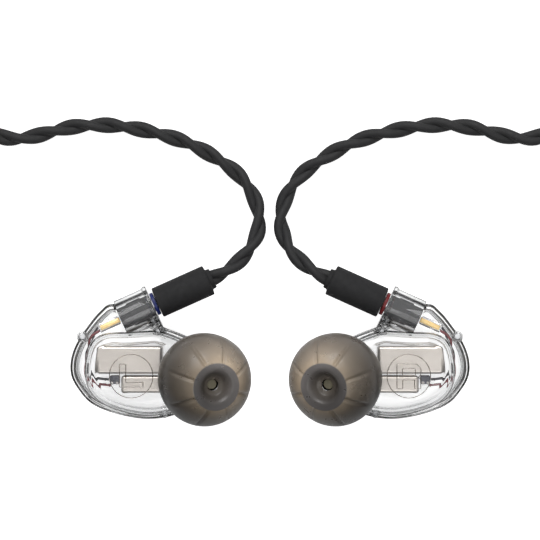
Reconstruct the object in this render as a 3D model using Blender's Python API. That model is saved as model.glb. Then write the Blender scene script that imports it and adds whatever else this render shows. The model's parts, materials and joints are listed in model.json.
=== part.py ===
"""In-ear monitors: a left and a right earpiece on a detachable twisted cable.

The pair lies on a table with the faceplates down and the ear tips up. X runs from the left
earpiece to the right one, Y runs towards the cable and Z points up. Plan points are written
for the left earpiece and mirrored for the right one.
"""

import math

import bmesh
import bpy
import numpy as np
from mathutils import Matrix, Vector

MM = 0.001

# Clearances
FACE_GAP = 0.10 * MM
FIT_GAP = 0.12 * MM
SEAT_GAP = 0.30 * MM

# Place of the plan's zero along Y, so that the pair is centred on the origin
PLAN_SHIFT_Y = 11.187 * MM

# Drivers
WOOFER_LENGTH = 9.6 * MM
WOOFER_WIDTH = 4.0 * MM
WOOFER_DEPTH = 7.0 * MM
WOOFER_CENTRE = (-20.7 * MM, -13.3 * MM)
TWEETER_LENGTH = 6.4 * MM
TWEETER_WIDTH = 2.5 * MM
TWEETER_DEPTH = 5.0 * MM
DRIVER_EDGE = 0.35 * MM
BOARD_LENGTH = 1.4 * MM
BOARD_DEPTH = 3.2 * MM

# Shell
SHELL_WALL = 0.9 * MM
SHELL_FLOOR_ROOM = 0.4 * MM
SHELL_CROWN_ROOM = 1.2 * MM
SEAM_GAP = 0.10 * MM
INNER_STEP = 0.35 * MM
FLANGE = 0.85 * MM
EAR_WALL = 0.5 * MM
OUTLINE_STEP = 0.2 * MM
OUTLINE_STEPS = 36
EVEN_STEP = 3.0 * MM
LEAST_LEAN = 0.6
BOSS_RADIUS = 0.85 * MM
BOSS_HEIGHT = 2.2 * MM
PIN_RADIUS = 0.4 * MM

# Connector, along its axis from the barrel's near face
CONNECTOR_POINT = (-16.68 * MM, -4.86 * MM)
CONNECTOR_TILT = math.radians(24.1)
BARREL_LENGTH = 8.3 * MM
BARREL_RADIUS = 2.3 * MM
BARREL_EDGE = 0.25 * MM
COLOUR_RING_LENGTH = 0.5 * MM
COLOUR_RING_RADIUS = 1.75 * MM
CONTACT_RADIUS = 1.1 * MM
CONTACT_WALL = 0.4 * MM
CONTACT_LENGTH = 3.5 * MM
CENTRE_PIN_RADIUS = 0.2 * MM
SNAP_RING_WALL = 0.25 * MM
SNAP_RING_LENGTH = 0.4 * MM
SNAP_RING_DEPTH = 2.2 * MM
JACK_LENGTH = 5.0 * MM
JACK_RADIUS = 1.93 * MM
JACK_BACK_WALL = 1.2 * MM
SOCKET_WALL = 0.8 * MM
SOCKET_LIP = 0.2 * MM
SOCKET_LIP_LENGTH = 0.6 * MM
TERMINAL_RADIUS = 0.4 * MM
TERMINAL_LENGTH = 3.2 * MM

# Nozzle and ear tip, along the nozzle's axis from the tip's widest section
TIP_CENTRE = (-9.5 * MM, -16.1 * MM)
TIP_HEIGHT = 12.5 * MM
TIP_LEAN = (0.329, -0.179, 0.927)
TIP_RADIUS = 6.85 * MM
TIP_WALL = 0.6 * MM
TIP_FRONT = 5.2 * MM
TIP_DISC_RADIUS = 3.5 * MM
TIP_MOUTH_RADIUS = 2.3 * MM
TIP_SKIRT = 2.8 * MM
TIP_STEM_WALL = 0.8 * MM
TIP_LIP = 0.2 * MM
TIP_STEM_BACK = 1.3 * MM
NOZZLE_RADIUS = 1.4 * MM
NOZZLE_BORE = 0.85 * MM
NOZZLE_FRONT = 3.3 * MM
NOZZLE_BACK = 6.9 * MM
NECK_BACK = 6.3 * MM
NECK_FRONT = 1.6 * MM
NECK_BACK_RADIUS = 2.8 * MM
NECK_FRONT_RADIUS = 2.2 * MM
DAMPER_LENGTH = 1.5 * MM

# Wires and sound tubes
WIRE_RADIUS = 0.15 * MM
WIRE_DROP = 0.55 * MM
WIRE_STEP = 1.2 * MM
SOUND_TUBE_RADIUS = 0.55 * MM
SOUND_TUBE_DROP = 1.6 * MM
SOUND_TUBE_BEND = 1.4 * MM
SOUND_TUBE_STEP = 0.9 * MM

# Cable
CORD_DIAMETER = 2.4 * MM
FLOOR_GAP = 0.05 * MM
CORD_STEP = 2.6 * CORD_DIAMETER

# Coil of the length that is put away: the branch pair lies below, the main cord above
COIL_CENTRE = (-18.0 * MM, 61.2 * MM)
COIL_MAIN_RADIUS = 10.4 * MM
COIL_MAIN_COLUMNS = 3
COIL_MAIN_LAYERS = 3
COIL_PAIR_RADIUS = 17.6 * MM
COIL_PAIR_TURNS = 2.4
TIE_WIDTH = 4.0 * MM
TIE_THICKNESS = 0.4 * MM
TIE_ANGLES = (math.radians(305.0), math.radians(30.0))
SPLIT_LENGTH = 10.0 * MM
SPLIT_RADIUS = 2.4 * MM
SPLIT_ANGLE = math.radians(110.0)

# Audio plug on the end of the main cord
PLUG_POINT = (8.4 * MM, 75.0 * MM)
PLUG_RELIEF_LENGTH = 5.0 * MM
PLUG_RELIEF_RADIUS = 2.1 * MM
PLUG_BODY_LENGTH = 14.0 * MM
PLUG_BODY_RADIUS = 3.0 * MM
PLUG_CONTACT_RADIUS = 1.75 * MM
PLUG_CORE_RADIUS = 0.8 * MM
PLUG_SLEEVE_LENGTH = 8.0 * MM
PLUG_RING_LENGTH = 2.2 * MM
PLUG_TIP_LENGTH = 3.4 * MM
PLUG_INSULATOR = 0.5 * MM
PLUG_WAIST_DEPTH = 0.35 * MM

# Sides of a turned piece
COIL_SIDES = 32
FINE = 24
MEDIUM = 16
SMALL = 10

SIDES = {"left": 1.0, "right": -1.0}

# Sizes that follow from the ones above
WOOFER_X0 = WOOFER_CENTRE[0] - WOOFER_LENGTH / 2
WOOFER_X1 = WOOFER_CENTRE[0] + WOOFER_LENGTH / 2
WOOFER_Y0 = WOOFER_CENTRE[1] - WOOFER_WIDTH / 2
WOOFER_Y1 = WOOFER_CENTRE[1] + WOOFER_WIDTH / 2
WOOFER_Z0 = SHELL_WALL + SHELL_FLOOR_ROOM
WOOFER_Z1 = WOOFER_Z0 + WOOFER_DEPTH
TWEETER_X1 = WOOFER_X1 + DRIVER_EDGE
TWEETER_X0 = TWEETER_X1 - TWEETER_LENGTH
TWEETER_Y1 = WOOFER_Y0 - SEAT_GAP
TWEETER_Y0 = TWEETER_Y1 - TWEETER_WIDTH
BOARD_X1 = TWEETER_X0 - SEAT_GAP
BOARD_X0 = BOARD_X1 - BOARD_LENGTH
BOARD_Y0 = TWEETER_Y1 - TWEETER_WIDTH / 2
SHELL_DEPTH = WOOFER_Z1 + SHELL_CROWN_ROOM + SHELL_WALL
SEAM_Z = SHELL_DEPTH / 2
CONNECTOR_AXIS = Vector((math.cos(CONNECTOR_TILT), math.sin(CONNECTOR_TILT), 0.0))
COLOUR_RING_FRONT = -FACE_GAP - COLOUR_RING_LENGTH
SOCKET_MOUTH = COLOUR_RING_FRONT - FACE_GAP
JACK_FRONT = SOCKET_MOUTH - SOCKET_LIP
JACK_BACK = JACK_FRONT - JACK_LENGTH
TERMINAL_FRONT = JACK_BACK - FACE_GAP
TERMINAL_BACK = TERMINAL_FRONT - TERMINAL_LENGTH
JACK_BORE = CONTACT_RADIUS + SNAP_RING_WALL + 2 * FIT_GAP
SOCKET_BORE = JACK_RADIUS + FIT_GAP
SOCKET_RADIUS = SOCKET_BORE + SOCKET_WALL
SOCKET_LIP_RADIUS = SOCKET_RADIUS + SOCKET_LIP
SOCKET_LIP_END = SOCKET_MOUTH - SOCKET_LIP_LENGTH
NOZZLE_AXIS = Vector(TIP_LEAN).normalized()
TIP_BORE = NOZZLE_RADIUS + FIT_GAP
COIL_FLOOR = FLOOR_GAP + TIE_THICKNESS + FACE_GAP
COIL_STEP_Z = COIL_FLOOR + 2 * CORD_DIAMETER
COIL_TOP_Z = COIL_STEP_Z + COIL_MAIN_LAYERS * CORD_DIAMETER
COIL_OUTER = COIL_PAIR_RADIUS + CORD_DIAMETER / 2
COIL_PAIR_INNER = COIL_PAIR_RADIUS - (COIL_PAIR_TURNS + 0.5) * CORD_DIAMETER
COIL_MAIN_INNER = COIL_MAIN_RADIUS - CORD_DIAMETER / 2
COIL_MAIN_OUTER = COIL_MAIN_INNER + COIL_MAIN_COLUMNS * CORD_DIAMETER
PLUG_Z = PLUG_BODY_RADIUS + FLOOR_GAP

# The rim's outline: offsets in millimetres from the woofer's ends and from the drivers' top and bottom
RIM_OUTLINE = (
    ("left", 2.20, "top", 6.30), ("left", 0.20, "top", 5.10), ("left", -1.90, "top", 2.50),
    ("left", -3.35, "top", 0.10), ("left", -4.05, "top", -2.20), ("left", -3.95, "top", -4.40),
    ("left", -2.90, "bottom", 0.40), ("left", -1.10, "bottom", -1.60), ("left", 1.80, "bottom", -2.95),
    ("left", 5.40, "bottom", -3.80), ("right", -1.20, "bottom", -3.95), ("right", 1.80, "bottom", -3.40),
    ("right", 4.30, "bottom", -2.40), ("right", 6.70, "bottom", -0.70), ("right", 8.00, "top", -4.40),
    ("right", 7.10, "top", -1.30), ("right", 4.00, "top", 1.25), ("right", -0.20, "top", 3.00),
    ("left", 6.20, "top", 4.90),
)
# The ear side's outline, which stands back from the rim beside the socket and at the left end
EAR_OUTLINE = (
    ("left", 4.60, "top", 2.15), ("left", 1.60, "top", 2.00), ("left", -0.10, "top", 1.35),
    ("left", -1.10, "top", 0.10), ("left", -1.65, "top", -1.90), ("left", -1.80, "bottom", 2.70),
    ("left", -1.40, "bottom", 0.80), ("left", -0.20, "bottom", -0.90), ("left", 2.00, "bottom", -2.25),
    ("left", 5.40, "bottom", -3.20), ("right", -1.20, "bottom", -3.40), ("right", 1.80, "bottom", -2.85),
    ("right", 4.05, "bottom", -1.85), ("right", 6.20, "bottom", -0.25), ("right", 7.40, "top", -4.40),
    ("right", 6.55, "top", -1.65), ("right", 3.70, "top", 0.70), ("right", -0.30, "top", 2.30),
    ("left", 7.10, "top", 2.30),
)
# The point that both outlines are drawn in towards, and the three pins that line the halves up
SHELL_MIDDLE = ("left", 6.50, "top", -3.00)
PIN_PLACES = (("left", -2.20, "top", 1.45), ("right", -0.60, "top", 2.10), ("right", 0.30, "bottom", -2.90))
# Rows of the faceplate half: millimetres in from the wall's face, and a share of the rise to the seam
FACEPLATE_OUTSIDE = ((1.80, 0.00), (0.80, 0.03), (0.30, 0.12), (0.05, 0.28), (0.00, 1.00))
FACEPLATE_INSIDE = ((0.00, 1.00), (0.25, 0.45), (0.75, 0.21), (1.40, 0.08), (2.40, 0.00))
# Rows of the crown: millimetres in from the wall's face, and millimetres below the crown's face
CROWN_OUTSIDE = ((3.00, 0.00), (1.80, 0.10), (0.90, 0.50), (0.30, 1.20), (0.00, 2.10))
CROWN_INSIDE = ((0.00, 1.05), (0.40, 0.50), (1.10, 0.10), (2.30, 0.00))

# The left branch's route from the barrel to the coil, in plan millimetres with its height
LEFT_ROUTE = (
    (-8.83, -1.34, 5.20), (-7.00, -0.45, 5.15), (-5.00, 0.95, 4.80), (-3.00, 3.10, 3.90),
    (-1.85, 5.60, 2.95), (-1.65, 8.10, 2.15), (-2.60, 11.30, 1.55), (-4.70, 14.20, 1.27),
    (-7.90, 16.60, 1.25), (-12.40, 19.00, 1.25), (-18.60, 20.80, 1.25), (-24.30, 21.60, 1.25),
    (-29.60, 21.30, 1.25), (-35.40, 19.90, 1.25), (-38.70, 19.60, 1.25), (-41.50, 20.60, 1.25),
    (-43.30, 22.80, 1.25), (-44.00, 26.00, 1.25), (-44.10, 31.00, 1.25), (-43.70, 36.00, 1.25),
    (-42.40, 40.60, 1.25), (-39.20, 43.00, 1.25), (-34.50, 43.70, 1.30), (-28.50, 43.60, 1.60),
)
# The right branch follows the left one's mirror image to the corner, then turns up to the coil
RIGHT_SHARED = 20
RIGHT_ROUTE_END = (
    (42.30, 40.80, 1.25), (38.60, 43.40, 1.25), (32.00, 44.30, 1.25), (24.00, 44.60, 1.25),
    (15.50, 45.60, 1.25), (8.20, 48.40, 1.40), (3.60, 52.40, 2.10), (1.10, 56.80, 3.20),
)
# The main cord's tail from the top of the coil down to the plug
TAIL_ROUTE = (
    (-0.40, 62.60, 10.60), (0.50, 66.20, 8.90), (1.40, 69.60, 6.70), (2.80, 72.70, 4.70),
    (4.80, 74.60, 3.40), (6.60, 75.00, 3.05), (8.05, 75.00, 3.05),
)
# The wires' route past the woofer: offsets in millimetres like the outlines', and a drop below the seam
WIRE_ROUTE = (
    ("left", -0.75, "top", 1.50, 0.70), ("left", -1.30, "top", -0.40, 0.90),
    ("left", -1.65, "top", -2.40, 1.00), ("left", -1.50, "bottom", 2.60, 1.00),
    ("left", -0.50, "bottom", 1.70, 0.80),
)


def clear_scene():
    """Remove every object that is in the scene."""
    for item in list(bpy.data.objects):
        bpy.data.objects.remove(item, do_unlink=True)


def make_material(name, colour, roughness, metallic=0.0, alpha=1.0):
    """A Principled material with the piece's colour, roughness and metallic value."""
    material = bpy.data.materials.new(name)
    material.use_nodes = True
    shader = material.node_tree.nodes["Principled BSDF"]
    shader.inputs["Base Color"].default_value = (*colour, 1.0)
    shader.inputs["Roughness"].default_value = roughness
    shader.inputs["Metallic"].default_value = metallic
    shader.inputs["Alpha"].default_value = alpha
    return material


def make_materials():
    """The finishes of the pieces, by plain name."""
    return {
        "clear_plastic": make_material("clear_plastic", (0.86, 0.87, 0.88), 0.05, 0.0, 0.35),
        "smoke_silicone": make_material("smoke_silicone", (0.16, 0.15, 0.14), 0.45),
        "driver_metal": make_material("driver_metal", (0.60, 0.56, 0.52), 0.32, 1.0),
        "jack_grey": make_material("jack_grey", (0.12, 0.12, 0.12), 0.45),
        "gold": make_material("gold", (0.95, 0.62, 0.22), 0.25, 1.0),
        "black_rubber": make_material("black_rubber", (0.02, 0.02, 0.02), 0.55),
        "cord_black": make_material("cord_black", (0.03, 0.03, 0.03), 0.45),
        "blue_ring": make_material("blue_ring", (0.02, 0.05, 0.30), 0.35),
        "red_ring": make_material("red_ring", (0.32, 0.02, 0.02), 0.35),
        "board_blue": make_material("board_blue", (0.06, 0.07, 0.11), 0.5),
        "wire_red": make_material("wire_red", (0.22, 0.03, 0.03), 0.4),
        "wire_dark": make_material("wire_dark", (0.03, 0.025, 0.03), 0.4),
        "steel": make_material("steel", (0.62, 0.62, 0.62), 0.25, 1.0),
        "clear_tube": make_material("clear_tube", (0.75, 0.76, 0.77), 0.2, 0.0, 0.6),
        "damper_grey": make_material("damper_grey", (0.25, 0.25, 0.26), 0.7),
    }


def add_object(name, data, material):
    """Put a mesh or a curve into the scene under its own name and finish."""
    item = bpy.data.objects.new(name, data)
    bpy.context.scene.collection.objects.link(item)
    if material is not None:
        data.materials.append(material)
    return item


def add_empty(name, matrix):
    """An empty on a joint's axis, its Z along the axis."""
    empty = bpy.data.objects.new(name, None)
    empty.matrix_world = matrix
    bpy.context.scene.collection.objects.link(empty)
    return empty


def carry(items, empty, matrix):
    """Parent pieces to the empty on their joint's axis without moving them."""
    for item in items:
        item.parent = empty
        item.matrix_parent_inverse = matrix.inverted()


def solid_mesh(name, verts, faces):
    """A closed mesh with its faces pointing out, smooth except at sharp edges."""
    mesh = bpy.data.meshes.new(name)
    mesh.from_pydata([tuple(v) for v in verts], [], faces)
    work = bmesh.new()
    work.from_mesh(mesh)
    bmesh.ops.recalc_face_normals(work, faces=work.faces)
    work.to_mesh(mesh)
    work.free()
    mesh.shade_smooth()
    mesh.set_sharp_from_angle(angle=math.radians(35.0))
    return mesh


def plan(side, x, y, z):
    """A point of the plan, mirrored for the right side and moved to the part's origin."""
    return Vector((SIDES[side] * x, y + PLAN_SHIFT_Y, z))


def mirrored(side, direction):
    """A direction of the left side, mirrored for the right side."""
    return Vector((SIDES[side] * direction[0], direction[1], direction[2]))


def axis_matrix(point, direction):
    """The place of a turned piece: its zero at a point, its Z along a direction."""
    turn = Vector((0.0, 0.0, 1.0)).rotation_difference(direction)
    return Matrix.Translation(point) @ turn.to_matrix().to_4x4()


def connector_matrix(side):
    """The connector's axis, from the socket towards the cable."""
    point = plan(side, *CONNECTOR_POINT, SEAM_Z)
    return axis_matrix(point, mirrored(side, CONNECTOR_AXIS))


def nozzle_matrix(side):
    """The nozzle's axis, from the shell towards the ear."""
    point = plan(side, *TIP_CENTRE, TIP_HEIGHT)
    return axis_matrix(point, mirrored(side, NOZZLE_AXIS))


def ring_faces(row_a, row_b):
    """Faces between two rows of a turned piece; a row of one point is a pole."""
    count = max(len(row_a), len(row_b))
    faces = []
    for k in range(count):
        n = (k + 1) % count
        corners = [row_a[k % len(row_a)], row_a[n % len(row_a)]]
        corners += [row_b[n % len(row_b)], row_b[k % len(row_b)]]
        faces.append(list(dict.fromkeys(corners)))
    return faces


def turned_mesh(name, profile, sides):
    """A solid turned about Z from (radius, height) pairs, either pole to pole or a closed loop."""
    verts = []
    rows = []
    for radius, height in profile:
        steps = 1 if radius == 0.0 else sides
        rows.append(list(range(len(verts), len(verts) + steps)))
        for k in range(steps):
            angle = 2.0 * math.pi * k / steps
            verts.append((radius * math.cos(angle), radius * math.sin(angle), height))
    pairs = list(zip(rows, rows[1:]))
    if profile[0][0] > 0.0:
        pairs.append((rows[-1], rows[0]))
    faces = [face for row_a, row_b in pairs for face in ring_faces(row_a, row_b)]
    return solid_mesh(name, verts, faces)


def turned(name, profile, sides, material, matrix):
    """A turned piece in its place."""
    item = add_object(name, turned_mesh(name, profile, sides), material)
    item.matrix_world = matrix
    return item


def rod(radius, low, high, edge=0.0):
    """Profile of a solid rod with chamfered ends."""
    if edge == 0.0:
        return [(0.0, low), (radius, low), (radius, high), (0.0, high)]
    return [(0.0, low), (radius - edge, low), (radius, low + edge),
            (radius, high - edge), (radius - edge, high), (0.0, high)]


def pipe(inner, outer, low, high):
    """Profile of a plain tube."""
    return [(inner, low), (outer, low), (outer, high), (inner, high)]


def block(name, low, high, edge, material):
    """A box between two corners with its edges bevelled."""
    low, high = Vector(low), Vector(high)
    centre = (low + high) / 2
    half = (high - low) / 2
    corners = [(sx * half.x, sy * half.y, sz * half.z)
               for sz in (-1, 1) for sx, sy in ((-1, -1), (1, -1), (1, 1), (-1, 1))]
    faces = [(3, 2, 1, 0), (4, 5, 6, 7), (0, 1, 5, 4), (1, 2, 6, 5), (2, 3, 7, 6), (3, 0, 4, 7)]
    item = add_object(name, solid_mesh(name, corners, faces), material)
    item.location = centre
    bevel = item.modifiers.new("edges", "BEVEL")
    bevel.width = edge
    bevel.segments = 1
    return item


def smooth_points(points, step, closed=False):
    """Points at an even step along a Catmull-Rom curve through the given ones."""
    points = np.asarray(points, dtype=float)
    if closed:
        padded = np.vstack([points[-1:], points, points[:2]])
    else:
        padded = np.vstack([2 * points[0] - points[1], points, 2 * points[-1] - points[-2]])
    t = np.linspace(0.0, 1.0, 16, endpoint=False)[:, None]
    pieces = []
    for a, b, c, d in zip(padded, padded[1:], padded[2:], padded[3:]):
        cubic = 2 * b + (c - a) * t + (2 * a - 5 * b + 4 * c - d) * t**2 + (3 * b - a - 3 * c + d) * t**3
        pieces.append(cubic / 2)
    dense = np.vstack(pieces + [padded[-2:-1]])
    along = np.concatenate([[0.0], np.cumsum(np.linalg.norm(np.diff(dense, axis=0), axis=1))])
    count = max(2, round(along[-1] / step) + 1)
    wanted = np.linspace(0.0, along[-1], count)
    return np.column_stack([np.interp(wanted, along, dense[:, k]) for k in range(dense.shape[1])])


def cord(name, points, radius, material, resolution=2):
    """A round cord: a bevelled curve with filled ends."""
    curve = bpy.data.curves.new(name, "CURVE")
    curve.dimensions = "3D"
    spline = curve.splines.new("POLY")
    spline.points.add(len(points) - 1)
    for target, point in zip(spline.points, points):
        target.co = (*point, 1.0)
    curve.bevel_depth = radius
    curve.bevel_resolution = resolution
    curve.use_fill_caps = True
    return add_object(name, curve, material)


def cutter(name, mesh, matrix):
    """A guide solid that cuts or joins another piece."""
    item = add_object(name, mesh, None)
    item.matrix_world = matrix
    item.hide_render = True
    item.display_type = "WIRE"
    return item


def combine(item, other, operation):
    """Join a guide solid to a piece, or cut it away."""
    modifier = item.modifiers.new(other.name, "BOOLEAN")
    modifier.operation = operation
    modifier.solver = "MANIFOLD"
    modifier.object = other


def driver_point(side_x, x, side_y, y):
    """A plan point set off from the woofer's left or right end and the drivers' top or bottom."""
    ends = {"left": WOOFER_X0, "right": WOOFER_X1, "top": WOOFER_Y1, "bottom": TWEETER_Y0}
    return np.array((ends[side_x] + x * MM, ends[side_y] + y * MM))


def about_middle(offsets):
    """A closed curve through offset points, as angles and reaches about the shell's middle."""
    curve = smooth_points([driver_point(*offset) for offset in offsets], OUTLINE_STEP, closed=True)
    away = curve - driver_point(*SHELL_MIDDLE)
    return np.arctan2(away[:, 1], away[:, 0]), np.linalg.norm(away, axis=1)


def shell_rings():
    """The rim's and the ear side's reaches from the shell's middle, at the same angles."""
    angles, rim = about_middle(RIM_OUTLINE)
    picks = np.linspace(0, len(angles) - 1, OUTLINE_STEPS, endpoint=False).round().astype(int)
    ear = np.interp(angles[picks], *about_middle(EAR_OUTLINE), period=2.0 * math.pi)
    return angles[picks], {"rim": rim[picks], "ear": ear}


def inset(angles, reach, distance):
    """Plan points of a ring drawn in by a distance square to it; a deep ring's bends are evened out."""
    outward = np.column_stack([np.cos(angles), np.sin(angles)])
    ring = outward * reach[:, None]
    along = np.roll(ring, -1, axis=0) - np.roll(ring, 1, axis=0)
    along /= np.linalg.norm(along, axis=1)[:, None]
    lean = along[:, 1] * outward[:, 0] - along[:, 0] * outward[:, 1]
    drawn = reach - distance / np.maximum(lean, LEAST_LEAN)
    for _ in range(round(distance / EVEN_STEP)):
        drawn = 0.5 * drawn + 0.25 * (np.roll(drawn, 1) + np.roll(drawn, -1))
    return driver_point(*SHELL_MIDDLE) + outward * drawn[:, None]


def shell_half(name, side, rows, material):
    """A bowl whose wall runs from the outer cap to the rim and back to the inner cap.

    A row is (ring that it is drawn in from, distance, height).
    """
    angles, rings = shell_rings()
    verts = []
    for ring, distance, height in rows:
        verts += [plan(side, x, y, height) for x, y in inset(angles, rings[ring], distance)]
    count = OUTLINE_STEPS
    loops = [list(range(k * count, (k + 1) * count)) for k in range(len(rows))]
    faces = [face for row_a, row_b in zip(loops, loops[1:]) for face in ring_faces(row_a, row_b)]
    faces += [loops[0], loops[-1]]
    return add_object(name, solid_mesh(name, verts, faces), material)


def pin_posts(name, side, radius, low, high):
    """Three upright posts at the pins' places, as one guide solid."""
    work = bmesh.new()
    for offset in PIN_PLACES:
        place = Matrix.Translation(plan(side, *driver_point(*offset), (low + high) / 2))
        bmesh.ops.create_cone(work, cap_ends=True, segments=SMALL, radius1=radius, radius2=radius,
                              depth=high - low, matrix=place)
    mesh = bpy.data.meshes.new(name)
    work.to_mesh(mesh)
    work.free()
    return cutter(name, mesh, Matrix.Identity(4))


def outer_shell(side, materials):
    """The faceplate half: a flat face on the table, rounding up to the seam."""
    rim = SEAM_Z - SEAM_GAP / 2
    room = rim - SHELL_WALL
    outside = [("rim", distance * MM, share * rim) for distance, share in FACEPLATE_OUTSIDE]
    inside = [("rim", SHELL_WALL + distance * MM, SHELL_WALL + share * room)
              for distance, share in FACEPLATE_INSIDE]
    shell = shell_half(side + "_outer_shell", side, outside + inside, materials["clear_plastic"])
    bosses = pin_posts(side + "_outer_bosses", side, BOSS_RADIUS, rim - BOSS_HEIGHT, rim - FACE_GAP)
    combine(shell, bosses, "UNION")
    return shell


def inner_shell(side, materials):
    """The ear-side half: a flange on the seam, a crown over the drivers and the neck round the nozzle."""
    rim = SEAM_Z + SEAM_GAP / 2
    ceiling = SHELL_DEPTH - SHELL_WALL
    outside = [("ear", distance * MM, SHELL_DEPTH - drop * MM) for distance, drop in CROWN_OUTSIDE]
    flange = [("ear", 0.0, rim + FLANGE), ("rim", INNER_STEP, rim + FLANGE), ("rim", INNER_STEP, rim),
              ("ear", EAR_WALL, rim)]
    inside = [("ear", EAR_WALL + distance * MM, ceiling - drop * MM) for distance, drop in CROWN_INSIDE]
    rows = outside + flange + inside
    shell = shell_half(side + "_inner_shell", side, rows, materials["clear_plastic"])
    neck_profile = [(0.0, -NECK_BACK), (NECK_BACK_RADIUS, -NECK_BACK),
                    (NECK_FRONT_RADIUS, -NECK_FRONT), (0.0, -NECK_FRONT)]
    neck_mesh = turned_mesh(side + "_neck", neck_profile, MEDIUM)
    combine(shell, cutter(side + "_neck", neck_mesh, nozzle_matrix(side)), "UNION")
    bosses = pin_posts(side + "_inner_bosses", side, BOSS_RADIUS, rim + FACE_GAP, rim + BOSS_HEIGHT)
    combine(shell, bosses, "UNION")
    bore_profile = rod(NOZZLE_RADIUS + FIT_GAP, -NOZZLE_BACK - MM, MM)
    bore_mesh = turned_mesh(side + "_neck_bore", bore_profile, MEDIUM)
    combine(shell, cutter(side + "_neck_bore", bore_mesh, nozzle_matrix(side)), "DIFFERENCE")
    channel_profile = rod(TERMINAL_RADIUS + FIT_GAP, TERMINAL_BACK - SEAT_GAP, JACK_BACK)
    channel_mesh = turned_mesh(side + "_terminal_channel", channel_profile, SMALL)
    combine(shell, cutter(side + "_terminal_channel", channel_mesh, connector_matrix(side)), "DIFFERENCE")
    return shell


def shells(side, materials):
    """Both halves of the housing, their pins and the opening for the socket."""
    halves = [outer_shell(side, materials), inner_shell(side, materials)]
    hole_back = JACK_BACK - SEAT_GAP
    hole_step = SOCKET_LIP_END - SEAT_GAP
    wide = SOCKET_LIP_RADIUS + FIT_GAP
    narrow = SOCKET_RADIUS + FIT_GAP
    hole_profile = [(0.0, hole_back), (narrow, hole_back), (narrow, hole_step), (wide, hole_step),
                    (wide, BARREL_LENGTH), (0.0, BARREL_LENGTH)]
    hole_mesh = turned_mesh(side + "_socket_hole", hole_profile, FINE)
    hole = cutter(side + "_socket_hole", hole_mesh, connector_matrix(side))
    reach = BOSS_HEIGHT - 2 * FACE_GAP
    pin_holes = pin_posts(side + "_pin_holes", side, PIN_RADIUS + FIT_GAP, SEAM_Z - reach, SEAM_Z + reach)
    for half in halves:
        combine(half, hole, "DIFFERENCE")
        combine(half, pin_holes, "DIFFERENCE")
    pins = []
    pin_profile = rod(PIN_RADIUS, -reach + FACE_GAP, reach - FACE_GAP)
    clear = materials["clear_plastic"]
    for number, offset in enumerate(PIN_PLACES, start=1):
        place = Matrix.Translation(plan(side, *driver_point(*offset), SEAM_Z))
        pins.append(turned(f"{side}_alignment_pin_{number}", pin_profile, SMALL, clear, place))
    return halves + pins


def socket(side, materials):
    """The clear sleeve, the coaxial socket inside it and its gold terminal."""
    place = connector_matrix(side)
    sleeve = [(SOCKET_BORE, JACK_BACK), (SOCKET_RADIUS, JACK_BACK), (SOCKET_RADIUS, SOCKET_LIP_END),
              (SOCKET_LIP_RADIUS, SOCKET_LIP_END), (SOCKET_LIP_RADIUS, SOCKET_MOUTH),
              (SOCKET_BORE, SOCKET_MOUTH)]
    jack = [(0.0, JACK_BACK), (JACK_RADIUS, JACK_BACK), (JACK_RADIUS, JACK_FRONT), (JACK_BORE, JACK_FRONT),
            (JACK_BORE, JACK_BACK + JACK_BACK_WALL), (0.0, JACK_BACK + JACK_BACK_WALL)]
    terminal = rod(TERMINAL_RADIUS, TERMINAL_BACK, TERMINAL_FRONT)
    return [
        turned(side + "_socket_housing", sleeve, FINE, materials["clear_plastic"], place),
        turned(side + "_jack_body", jack, FINE, materials["jack_grey"], place),
        turned(side + "_jack_contact", terminal, SMALL, materials["gold"], place),
    ]


def connector(side, materials):
    """The cable's plug: barrel, colour ring, contact shell, centre pin and the snap ring it swivels on."""
    place = connector_matrix(side)
    ring_hole = CONTACT_RADIUS + FIT_GAP
    contact_end = -FACE_GAP - CONTACT_LENGTH
    contact = pipe(CONTACT_RADIUS - CONTACT_WALL, CONTACT_RADIUS, contact_end, -FACE_GAP)
    colour = pipe(ring_hole, COLOUR_RING_RADIUS, COLOUR_RING_FRONT, -FACE_GAP)
    snap_low = -SNAP_RING_DEPTH - SNAP_RING_LENGTH
    snap = pipe(ring_hole, ring_hole + SNAP_RING_WALL, snap_low, -SNAP_RING_DEPTH)
    pin = rod(CENTRE_PIN_RADIUS, contact_end, -FACE_GAP)
    barrel = rod(BARREL_RADIUS, 0.0, BARREL_LENGTH, BARREL_EDGE)
    colour_finish = materials["blue_ring"] if side == "left" else materials["red_ring"]
    turned(side + "_connector_barrel", barrel, FINE, materials["black_rubber"], place)
    turned(side + "_colour_ring", colour, FINE, colour_finish, place)
    turned(side + "_connector_shell", contact, MEDIUM, materials["steel"], place)
    turned(side + "_connector_pin", pin, SMALL, materials["gold"], place)
    return turned(side + "_snap_ring", snap, MEDIUM, materials["steel"], place)


def drivers(side, materials):
    """The woofer, the tweeter and the terminal board at its end."""
    tweeter_low = SEAM_Z - TWEETER_DEPTH / 2
    board_low = SEAM_Z - BOARD_DEPTH / 2
    boxes = (
        ("_woofer", (WOOFER_X0, WOOFER_Y0, WOOFER_Z0), (WOOFER_X1, WOOFER_Y1, WOOFER_Z1), "driver_metal"),
        ("_tweeter", (TWEETER_X0, TWEETER_Y0, tweeter_low),
         (TWEETER_X1, TWEETER_Y1, tweeter_low + TWEETER_DEPTH), "driver_metal"),
        ("_terminal_board", (BOARD_X0, BOARD_Y0, board_low),
         (BOARD_X1, TWEETER_Y1, board_low + BOARD_DEPTH), "board_blue"),
    )
    pieces = []
    for name, low, high, finish in boxes:
        ends = sorted([plan(side, *low), plan(side, *high)], key=lambda corner: corner.x)
        low_corner = (ends[0].x, min(ends[0].y, ends[1].y), low[2])
        high_corner = (ends[1].x, max(ends[0].y, ends[1].y), high[2])
        pieces.append(block(side + name, low_corner, high_corner, DRIVER_EDGE, materials[finish]))
    return pieces


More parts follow.
